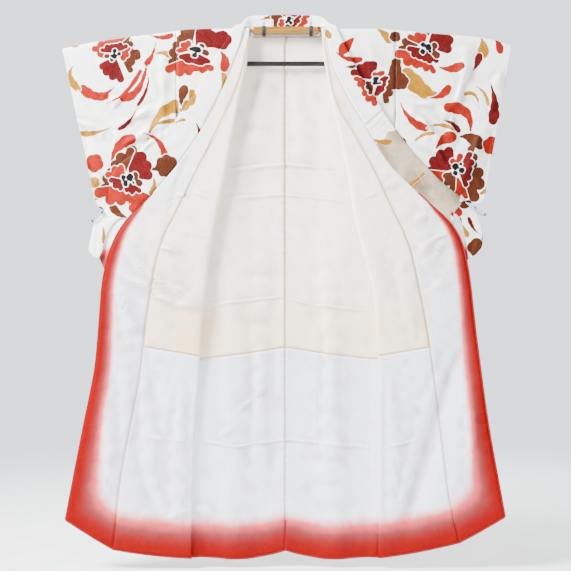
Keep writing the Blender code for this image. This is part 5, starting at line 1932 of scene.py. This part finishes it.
class KIMONO_OT_sleeves(bpy.types.Operator):
    """Sleeves with their pouches and rounded corners"""

    bl_idname = "kimono.sleeves"
    bl_label = "Sleeves"

    def execute(self, context):
        for side in SIGN:
            grid, _, columns = shaped(f"sleeve_{side}")
            bottom = columns[len(SLEEVE_STEPS) + 1]
            before = np.arange(grid.shape[1])[None, :] <= bottom
            layers = mix_prints(front_print(grid), repeat_print(grid, REPEAT_SHIFT["sleeve"]), before)
            piece = printed_piece(f"sleeve_{side}", f"sleeve_cloth_{side}", grid,
                                  (grid.shape[0] // 2, bottom // 2, FORWARD), layers, ring=True)
        return {"FINISHED"}


class KIMONO_OT_collar(bpy.types.Operator):
    """Folded wide collar and its cover"""

    bl_idname = "kimono.collar"
    bl_label = "Collar"

    def execute(self, context):
        grid, rows, _ = shaped("collar")
        along = along_columns(grid)
        last = along[rows[cover_rows(len(rows))[1]]][None]
        pinned = along[rows[-1 - len(COLLAR_END["right"])]][None]
        # Where the right collar is opened and its lining, painted dark as shade, shows
        ragged = OPENED_RAGGED * np.sin(along_rows(grid) / 0.006)
        opened = smooth((along - last - OPENED_FROM + ragged) / 0.006)
        opened = opened * smooth((pinned + OPENED_PAST - along + ragged) / 0.010) * (grid[..., 0] > 0.20)
        looks = (collar_silk("collar_silk"), printed_silk())
        piece = cloth_piece("collar_cloth", grid, sizes().collar, looks,
                            face=(rows[len(COLLAR_END["left"]) + 4], 3, FORWARD), layers=front_print(grid),
                            tints={"opened": opened}, shade=SHADES["collar"])
        settle(piece, "silk", "collar")
        grid = shaped("collar_cover")[0]
        cover = cloth_piece("collar_cover_cloth", grid, COVER_SILK, (printed_silk(), silk_back()),
                            face=(grid.shape[0] // 4, 3, FORWARD), layers=front_print(grid))
        settle(cover, "silk", "collar_cover")
        return {"FINISHED"}


class KIMONO_OT_collar_corners(bpy.types.Operator):
    """Cloth between the hanging collar ends and the front edges, dyed red at its foot"""

    bl_idname = "kimono.collar_corners"
    bl_label = "Collar corners"

    def execute(self, context):
        seam = shaped("collar")[0][:, 0]
        for side, sign in SIGN.items():
            own = seam[seam[:, 0] * sign > 0.0]
            own = own[(-own[:, 2] > CORNER_TOP) & (-own[:, 2] < CORNER_FOOT)]
            own = own[np.argsort(-own[:, 2])]
            edge = shaped(f"okumi_{side}")[0][:, -1]
            edge = edge[(-edge[:, 2] > CORNER_TOP + 0.012) & (-edge[:, 2] < CORNER_FOOT + 0.045)]
            outer, inner = resampled(own, CORNER_ROWS), resampled(edge, CORNER_ROWS)
            outer[:, 1] += CORNER_BEHIND
            inner[:, 1] += CORNER_BEHIND
            share = np.linspace(0.0, 1.0, CORNER_COLUMNS)[None, :, None]
            grid = outer[:, None] * (1.0 - share) + inner[:, None] * share
            bulge = CORNER_BULGE + CORNER_UNEVEN * np.sin(np.arange(CORNER_ROWS) / 5.0)[:, None]
            grid[..., 1] += np.minimum(np.sin(math.pi * share[..., 0]) * bulge, CORNER_BULGE_MOST)
            depth = smooth((-grid[..., 2] - CORNER_FOOT + CORNER_DYE_FROM) / CORNER_DYE_FADE) * CORNER_DYE
            piece = cloth_piece(f"collar_corner_{side}", grid, sizes().lining, (skirt_lining_silk(),),
                                tints={"dye": depth, "seam": depth * 0.0, "age": depth * 0.0 + CORNER_AGE})
            settle(piece, "skirt_lining")
        return {"FINISHED"}


def tube(bm, points, half_width, half_height, sideways, sides=8):
    """A flattened tube along points. sideways gives the direction of its width at each point."""
    points = np.asarray(points, float)
    count = len(points)
    bmesh.ops.create_grid(bm, x_segments=sides, y_segments=count - 1, size=1.0)
    along = np.gradient(points, axis=0)
    along /= np.linalg.norm(along, axis=1, keepdims=True)
    wide = sideways - along * np.sum(sideways * along, axis=1, keepdims=True)
    wide /= np.linalg.norm(wide, axis=1, keepdims=True)
    tall = np.cross(along, wide)
    for vertex in bm.verts:
        i = round((vertex.co.y + 1.0) / 2.0 * (count - 1))
        a = 2.0 * math.pi * (round((vertex.co.x + 1.0) / 2.0 * sides) % sides) / sides
        vertex.co = points[i] + wide[i] * half_width * math.cos(a) + tall[i] * half_height * math.sin(a)
    bmesh.ops.remove_doubles(bm, verts=bm.verts, dist=MERGE)
    bmesh.ops.holes_fill(bm, edges=[e for e in bm.edges if e.is_boundary], sides=sides)


def add_tube(bm, *shape):
    """Adds a tube to a mesh that already has points."""
    made = bmesh.new()
    tube(made, *shape)
    scrap = bpy.data.meshes.new("scrap")
    made.to_mesh(scrap)
    made.free()
    bm.from_mesh(scrap)
    bpy.data.meshes.remove(scrap)


def spun(bm, outline, centre, axis, steps):
    """Turns an outline round an axis."""
    points = [bm.verts.new(place) for place in outline]
    edges = [bm.edges.new(pair) for pair in zip(points, points[1:])]
    bmesh.ops.spin(bm, geom=points + edges, cent=centre, axis=axis, angle=2 * math.pi, steps=steps,
                   use_merge=True)


def always(direction, count):
    return np.tile(np.array(direction), (count, 1))


class KIMONO_OT_hems(bpy.types.Operator):
    """Red roll of the skirt lining along the hem and the front edges"""

    bl_idname = "kimono.hems"
    bl_label = "Hem rolls"

    def execute(self, context):
        size = sizes().hem_roll
        for side, sign in SIGN.items():
            back, skirt, front, front_skirt, okumi, edge = grids(
                side, "back", "skirt_lining_back", "front", "skirt_lining_front", "okumi", "okumi_lining"
            )
            line = 0.5 * (back[-1] + resampled(skirt[-1], len(back[-1])))
            self.roll(f"hem_roll_back_{side}", line, size)
            outer = resampled(np.concatenate([front[-1], okumi[-1]]), 90)
            inner = resampled(np.concatenate([front_skirt[-1], edge[-1]]), 90)
            self.roll(f"hem_roll_front_{side}", 0.5 * (outer + inner), size)
            lines = [grid[-grid[:, -1, 2] > EDGE_ROLL_TOP, -1] for grid in (edge, okumi)]
            line = 0.5 * (resampled(lines[0], 150) + resampled(lines[1], 150))
            line[:, 0] += sign * ROLL_OUT
            self.roll(f"edge_roll_{side}", line, size, sign)
            for seam, line in (("okumi", edge[:, 0]), ("middle", skirt[:, 0])):
                foot = line[-line[:, 2] > SEAM_ROLL_TOP] + (0.0, SEAM_ROLL_BEHIND, 0.0)
                self.roll(f"seam_roll_{seam}_{side}", foot, SEAM_ROLL, sign)
        return {"FINISHED"}

    def roll(self, name, line, size, sign=0.0):
        """A flat red roll that stands out downward, or to the side that sign gives."""
        sideways = always((sign, 0.0, -1.0 if sign == 0.0 else 0.0), len(line))
        grow = 1.0 if sign == 0.0 else smooth((-line[:, 2] - EDGE_ROLL_TOP) / EDGE_ROLL_FADE)[:, None]
        line = line + sideways * ROLL_OUT * grow
        piece = solid_piece(name, dyed_roll_silk(), lambda bm: tube(bm, line, size, ROLL_HEIGHT, sideways))
        piece.data.uv_layers.new(name="Cut")
        settle(piece, "skirt_lining")


def resampled(line, count):
    """The same line with evenly spaced points."""
    line = np.asarray(line)
    steps = np.linalg.norm(np.diff(line, axis=0), axis=1)
    at = np.concatenate([[0.0], np.cumsum(steps)])
    wanted = np.linspace(0.0, at[-1], count)
    return np.stack([np.interp(wanted, at, line[:, k]) for k in range(3)], axis=1)


class KIMONO_OT_stitches(bpy.types.Operator):
    """Small running stitches along the seams"""

    bl_idname = "kimono.stitches"
    bl_label = "Stitches"

    def execute(self, context):
        white = thread_material("white_thread", paint(236, 226, 214))
        for side in SIGN:
            okumi, front, skirt, back, back_skirt = grids(
                side, "okumi_lining", "body_lining_front", "skirt_lining_front", "body_lining_back",
                "skirt_lining_back"
            )
            lines = (
                okumi[:, 1],
                np.concatenate([front[:, -2], skirt[:, -2]]),
                skirt[1],
                okumi[-okumi[:, -1, 2] < COLLAR_FOOT, -2],
                back_skirt[1],
                np.concatenate([back[:, 1], back_skirt[:, 1]]),
            )
            raised = [(line, STITCH_RISE) for line in lines]
            piece = solid_piece(f"seam_stitches_{side}", white, lambda bm: self.sew(bm, raised))
            settle(piece, "silk")
        collar = shaped("collar")[0]
        cover = shaped("collar_cover")[0]
        tacked = collar[(collar[:, 1, 0] > 0.10) & (-collar[:, 1, 2] < TACKED_TO), 1]
        raised = [(line, COVER_RISE) for line in (cover[1, :12], cover[-2, :12], cover[:, 1])]
        raised.insert(0, (tacked, COLLAR_RISE))
        brown = thread_material("seam_thread", paint(196, 176, 152))
        piece = solid_piece("collar_stitches", brown, lambda bm: self.sew(bm, raised))
        settle(piece, "silk")
        threads = solid_piece("collar_threads", white, self.loose_threads)
        settle(threads, "silk")
        return {"FINISHED"}

    def loose_threads(self, bm):
        """Two tacking threads that cross on the opened collar."""
        collar = shaped("collar")[0].reshape(-1, 3)
        for start, end in LOOSE_THREADS:
            line = []
            for t in np.linspace(0.0, 1.0, 14):
                x, drop = (start[k] + (end[k] - start[k]) * t for k in (0, 1))
                nearest = np.argsort(np.hypot(collar[:, 0] - x, -collar[:, 2] - drop))[:6]
                line.append((x, collar[nearest, 1].min() - THREAD_RISE, -drop))
            add_tube(bm, line, THREAD_RADIUS, THREAD_RADIUS, always((0.7, 0.0, 0.7), len(line)), 6)

    def sew(self, bm, lines):
        """Puts short stitches on each line, raised off the cloth toward the front."""
        for line, rise in lines:
            line = line[-line[:, 2] < STITCH_END]
            if len(line) < 2:
                continue
            run = float(np.linalg.norm(np.diff(line, axis=0), axis=1).sum())
            places = resampled(line, max(3, int(run / sizes().stitch_pitch)))
            for a, b in zip(places[:-1], places[1:]):
                start, end = (Vector(a + (b - a) * share) + Vector(FORWARD) * rise for share in STITCH_SHARES)
                span = end - start
                turn = span.to_track_quat("Z", "Y").to_matrix().to_4x4()
                place = Matrix.Translation((start + end) / 2) @ turn
                bmesh.ops.create_cone(bm, cap_ends=True, segments=4, radius1=STITCH_RADIUS,
                                      radius2=STITCH_RADIUS, depth=span.length, matrix=place)


class KIMONO_OT_hanger(bpy.types.Operator):
    """Bamboo pole, arms, bands, wires and obi bar"""

    bl_idname = "kimono.hanger"
    bl_label = "Hanger"

    def execute(self, context):
        bamboo = bamboo_material("varnished_bamboo")
        pole = solid_piece("bamboo_pole", bamboo, self.pole, 50.0)
        settle(pole, "bamboo", "hanger_pole")
        for side in SIGN:
            self.dress(f"hanger_arm_{side}", bamboo)
        black = plain_material("black_lacquer", paint(12, 12, 14), (0.28, 0.42), 180.0)
        cord = plain_material("black_band", paint(18, 20, 26), (0.6, 0.8), 900.0, 0.5)
        bar = solid_piece("obi_bar", black, self.bar, 40.0)
        settle(bar, "black", "hanger_obi_bar")
        pale = plain_material("pale_knob", paint(212, 196, 170), (0.35, 0.5))
        settle(solid_piece("obi_bar_knob", pale, self.knob), "black")
        for side in SIGN:
            self.dress(f"hanger_link_{side}", black)
            wire = plain_material("thin_wire", paint(150, 150, 152), (0.3, 0.45), 900.0)
            self.dress(f"hanger_wire_{side}", wire)
            band = solid_piece(f"band_wrap_{side}", cord, lambda bm: self.band(bm, side), 60.0)
            settle(band, "black", f"hanger_band_{side}")
        return {"FINISHED"}

    def dress(self, node, look):
        """Gives one of the part's own nodes a look."""
        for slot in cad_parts[node].material_slots:
            slot.material = look

    def pole(self, bm):
        """A bamboo culm: slightly waisted between its joints, each joint with a ridge and a groove."""
        outline = []
        for k in range(POLE_STEPS + 1):
            x = -POLE_HALF + 2 * POLE_HALF * k / POLE_STEPS
            radius = POLE_RADIUS - JOINT_RIDGE
            for joint in POLE_JOINTS:
                away = x - joint
                radius += JOINT_RIDGE * math.exp(-((away / JOINT_RIDGE_HALF) ** 2))
                radius -= JOINT_GROOVE * math.exp(-(((away - JOINT_GROOVE_AWAY) / JOINT_GROOVE_HALF) ** 2))
            ends = min(1.0, (POLE_HALF - abs(x)) / POLE_END + 0.4)
            outline.append((x, 0.0, radius * (1.0 - POLE_END_SHRINK + POLE_END_SHRINK * ends)))
        spun(bm, outline, (0, 0, 0), (1, 0, 0), POLE_SIDES)
        bmesh.ops.holes_fill(bm, edges=[e for e in bm.edges if e.is_boundary], sides=60)

    def bar(self, bm):
        bmesh.ops.create_cube(bm, size=1.0)
        bmesh.ops.scale(bm, vec=(2 * OBI_BAR_HALF, OBI_BAR_DEPTH, OBI_BAR_HEIGHT), verts=bm.verts)
        bmesh.ops.bevel(bm, geom=list(bm.edges), offset=OBI_BAR_BEVEL, segments=3, profile=0.5,
                        affect="EDGES", material=-1)
        bmesh.ops.translate(bm, vec=(0.0, 0.0, -OBI_BAR_DROP), verts=bm.verts)

    def knob(self, bm):
        """A small turned knob under the middle of the bar."""
        top = -OBI_BAR_DROP - OBI_BAR_HEIGHT / 2
        spun(bm, [(KNOB_OUT + r, 0.0, top + z) for r, z in KNOB], (KNOB_OUT, 0, 0), (0, 0, 1), 20)
        bmesh.ops.remove_doubles(bm, verts=bm.verts, dist=1e-5)

    def band(self, bm, side):
        """A cord wound round the pole, with two short ends that stand up."""
        middle = SIGN[side] * BAND_OUT[side]
        points = []
        count = BAND_TURNS * BAND_STEPS
        for k in range(count + 1):
            a = 2.0 * math.pi * k / BAND_STEPS + math.pi / 2
            x = middle + BAND_WIDTH * (k / count - 0.5) * 0.86
            points.append((x, BAND_RADIUS * math.cos(a), BAND_RADIUS * math.sin(a)))
        tube(bm, points, CORD_HALF_WIDTH, CORD_HALF_HEIGHT, always((1.0, 0.0, 0.0), len(points)), 6)
        base = np.array([middle, -0.002, BAND_RADIUS + 0.0006])
        for lean in (-1.0, 1.0):
            tip = base + np.array([lean * CORD_END[0], *CORD_END[1:]])
            line = []
            for t in np.linspace(0.0, 1.0, 8):
                line.append(base + (tip - base) * t + (0.0, 0.0, 0.002 * math.sin(3.1 * t)))
            add_tube(bm, line, CORD_END_RADIUS, CORD_END_RADIUS, always((1.0, 0.0, 0.0), len(line)), 6)


class KIMONO_OT_clips(bpy.types.Operator):
    """White spring clips at the sleeve corners"""

    bl_idname = "kimono.clips"
    bl_label = "Clips"

    def execute(self, context):
        # The clips' white is painted bluish grey, as shade that sets them off from the white cloth
        white = plain_material("white_plastic", paint(206, 213, 224), (0.25, 0.4), 240.0, 0.05)
        metal = plain_material("clip_metal", paint(96, 100, 108), (0.2, 0.35), 300.0, 0.03)
        for side in SIGN:
            clip = solid_piece(f"spring_clip_{side}", white, lambda bm: self.clip(bm, side), 40.0)
            settle(clip, "clip", f"clip_{side}")
            coil = solid_piece(f"clip_coil_{side}", metal, lambda bm: self.coil(bm, side), 40.0)
            settle(coil, "clip")
        return {"FINISHED"}

    def place(self, bm, side):
        out, drop, lean = CLIP[side]
        turn = Matrix.Rotation(SIGN[side] * math.radians(lean), 4, "Y")
        moved = Matrix.Translation((SIGN[side] * out, 0.0, -drop))
        bmesh.ops.transform(bm, matrix=moved @ turn, verts=bm.verts)

    def coil(self, bm, side):
        """Spring wire wound round the pin, with its two ends laid on the jaws."""
        middle = np.array((SIGN[side] * CLIP_LENGTH * CLIP_PIN, CLIP_FACE, 0.0))
        line = []
        for k, a in enumerate(np.linspace(*COIL_TURNS, COIL_POINTS) * 2.0 * math.pi):
            across = CLIP_WIDTH * (0.30 - 0.60 * k / (COIL_POINTS - 1))
            line.append(middle + (COIL_RADIUS * math.cos(a), COIL_RADIUS * math.sin(a), across))
        tube(bm, line, COIL_WIRE, COIL_WIRE, always((0.1, 0.0, 1.0), len(line)), 6)
        self.place(bm, side)

    def clip(self, bm, side):
        """Two ribbed jaws, a pin and its two ears, laid where the part's clip is."""
        sign = SIGN[side]
        faces = (CLIP_FACE, CLIP_BACK + CLIP_WALL / 2)
        for y, bend, reach in zip(faces, (-1.0, 1.0), JAW_REACH):
            made = bmesh.ops.create_grid(bm, x_segments=44, y_segments=6, size=0.5)["verts"]
            for vertex in made:
                t = vertex.co.x + 0.5
                ends = math.sqrt(max(0.0, 1.0 - (max(0.0, t - JAW_ROUND) / 0.145) ** 2))
                neck = 1.0 - JAW_NECK_DEPTH * math.exp(-(((t - JAW_NECK) / JAW_NECK_HALF) ** 2))
                wide = vertex.co.y * CLIP_WIDTH * JAW_WIDTH * neck * ends
                ribs = RIB_HEIGHT * math.sin(20.0 * math.pi * t) if JAW_RIBS[0] < t < JAW_RIBS[1] else 0.0
                arch = bend * JAW_ARCH * math.sin(math.pi * min(1.0, t / 0.9))
                vertex.co = (sign * (CLIP_LENGTH * reach) * t, y + arch + bend * ribs, wide)
            jaw = dict.fromkeys(face for vertex in made for face in vertex.link_faces)
            bmesh.ops.solidify(bm, geom=list(jaw), thickness=CLIP_WALL * 0.75)
        pin = Matrix.Translation((sign * CLIP_LENGTH * CLIP_PIN, CLIP_FACE, 0.0))
        for offset, segments, radius, width in (
            (-0.44, 20, EAR_RADIUS, 0.14), (0.44, 20, EAR_RADIUS, 0.14), (0.0, 14, PIN_RADIUS, 1.25),
        ):
            moved = Matrix.Translation((0.0, 0.0, offset * CLIP_WIDTH)) @ pin
            bmesh.ops.create_cone(bm, cap_ends=True, segments=segments, radius1=radius, radius2=radius,
                                  depth=CLIP_WIDTH * width, matrix=moved)
        self.place(bm, side)


class KIMONO_OT_stage(bpy.types.Operator):
    """Floor, lights and camera"""

    bl_idname = "kimono.stage"
    bl_label = "Stage"

    def execute(self, context):
        pale = plain_material("pale_floor", paint(232, 234, 237), (0.7, 0.85), 12.0, 0.02)
        tree = pale.node_tree
        place = tree.nodes.new("ShaderNodeTexCoord").outputs["Object"]
        flat = tree.nodes.new("ShaderNodeVectorMath")
        flat.operation = "MULTIPLY"
        flat.inputs[1].default_value = (1.0, 1.0, 0.0)
        tree.links.new(place, flat.inputs[0])
        out = tree.nodes.new("ShaderNodeVectorMath")
        out.operation = "LENGTH"
        tree.links.new(flat.outputs[0], out.inputs[0])
        fade = ranged(tree, out.outputs["Value"], *FLOOR_FADE, 1.0, 0.0)
        tree.links.new(fade, tree.nodes["Principled BSDF"].inputs["Alpha"])

        def floor(bm):
            bmesh.ops.create_grid(bm, x_segments=4, y_segments=4, size=FLOOR_HALF)
            bmesh.ops.translate(bm, vec=(0.0, 0.0, FLOOR), verts=bm.verts)

        solid_piece("floor", pale, floor)
        camera = bpy.data.cameras.new("camera")
        camera.sensor_width = SENSOR
        camera.lens = SENSOR * VIEW_DISTANCE / VIEW_WIDTH
        camera.clip_start = VIEW_NEAR
        view = bpy.data.objects.new("camera", camera)
        view.location = (0.0, -VIEW_DISTANCE, VIEW_MIDDLE)
        view.rotation_euler = (math.pi / 2, 0.0, 0.0)
        bpy.context.scene.collection.objects.link(view)
        bpy.context.scene.camera = view
        for name, (place, target, size, power) in LIGHTS.items():
            data = bpy.data.lights.new(name, "AREA")
            data.size = size
            data.energy = power
            light = bpy.data.objects.new(name, data)
            light.location = place
            direction = Vector(target) - Vector(place)
            light.rotation_euler = direction.to_track_quat("-Z", "Y").to_euler()
            bpy.context.scene.collection.objects.link(light)
        world = bpy.data.worlds.new("studio")
        world.use_nodes = True
        tree = world.node_tree
        sky = [tree.nodes["Background"], tree.nodes.new("ShaderNodeBackground")]
        for node, (colour, strength) in zip(sky, WORLD):
            put(node, Color=colour, Strength=strength)
        rays = tree.nodes.new("ShaderNodeLightPath")
        mix = tree.nodes.new("ShaderNodeMixShader")
        tree.links.new(rays.outputs["Is Camera Ray"], mix.inputs[0])
        for node, socket in zip(sky, mix.inputs[1:]):
            tree.links.new(node.outputs[0], socket)
        tree.links.new(mix.outputs[0], tree.nodes["World Output"].inputs["Surface"])
        bpy.context.scene.world = world
        return {"FINISHED"}


class KIMONO_PT_panel(bpy.types.Panel):
    """Sizes, colours and pieces of the kimono"""

    bl_idname = "KIMONO_PT_panel"
    bl_label = "Komon kimono"
    bl_space_type = "VIEW_3D"
    bl_region_type = "UI"
    bl_category = "Kimono"

    def draw(self, context):
        layout = self.layout
        for settings in (context.scene.kimono_sizes, context.scene.kimono_colours):
            box = layout.box()
            for name in settings.bl_rna.properties.keys():
                if name not in ("rna_type", "name"):
                    box.prop(settings, name)
        column = layout.column(align=True)
        for operator in OPERATORS:
            column.operator(operator.bl_idname)


OPERATORS = (
    KIMONO_OT_stage,
    KIMONO_OT_outer_cloth,
    KIMONO_OT_linings,
    KIMONO_OT_sleeves,
    KIMONO_OT_collar,
    KIMONO_OT_collar_corners,
    KIMONO_OT_hems,
    KIMONO_OT_stitches,
    KIMONO_OT_hanger,
    KIMONO_OT_clips,
)
CLASSES = (KimonoSizes, KimonoColours) + OPERATORS + (KIMONO_PT_panel,)


def register():
    for entry in CLASSES:
        bpy.utils.register_class(entry)
    bpy.types.Scene.kimono_sizes = bpy.props.PointerProperty(type=KimonoSizes)
    bpy.types.Scene.kimono_colours = bpy.props.PointerProperty(type=KimonoColours)


def unregister():
    del bpy.types.Scene.kimono_colours
    del bpy.types.Scene.kimono_sizes
    for entry in reversed(CLASSES):
        bpy.utils.unregister_class(entry)


def main():
    register()
    for operator in OPERATORS:
        getattr(bpy.ops.kimono, operator.bl_idname.partition(".")[2])()


if __name__ == "__main__":
    main()
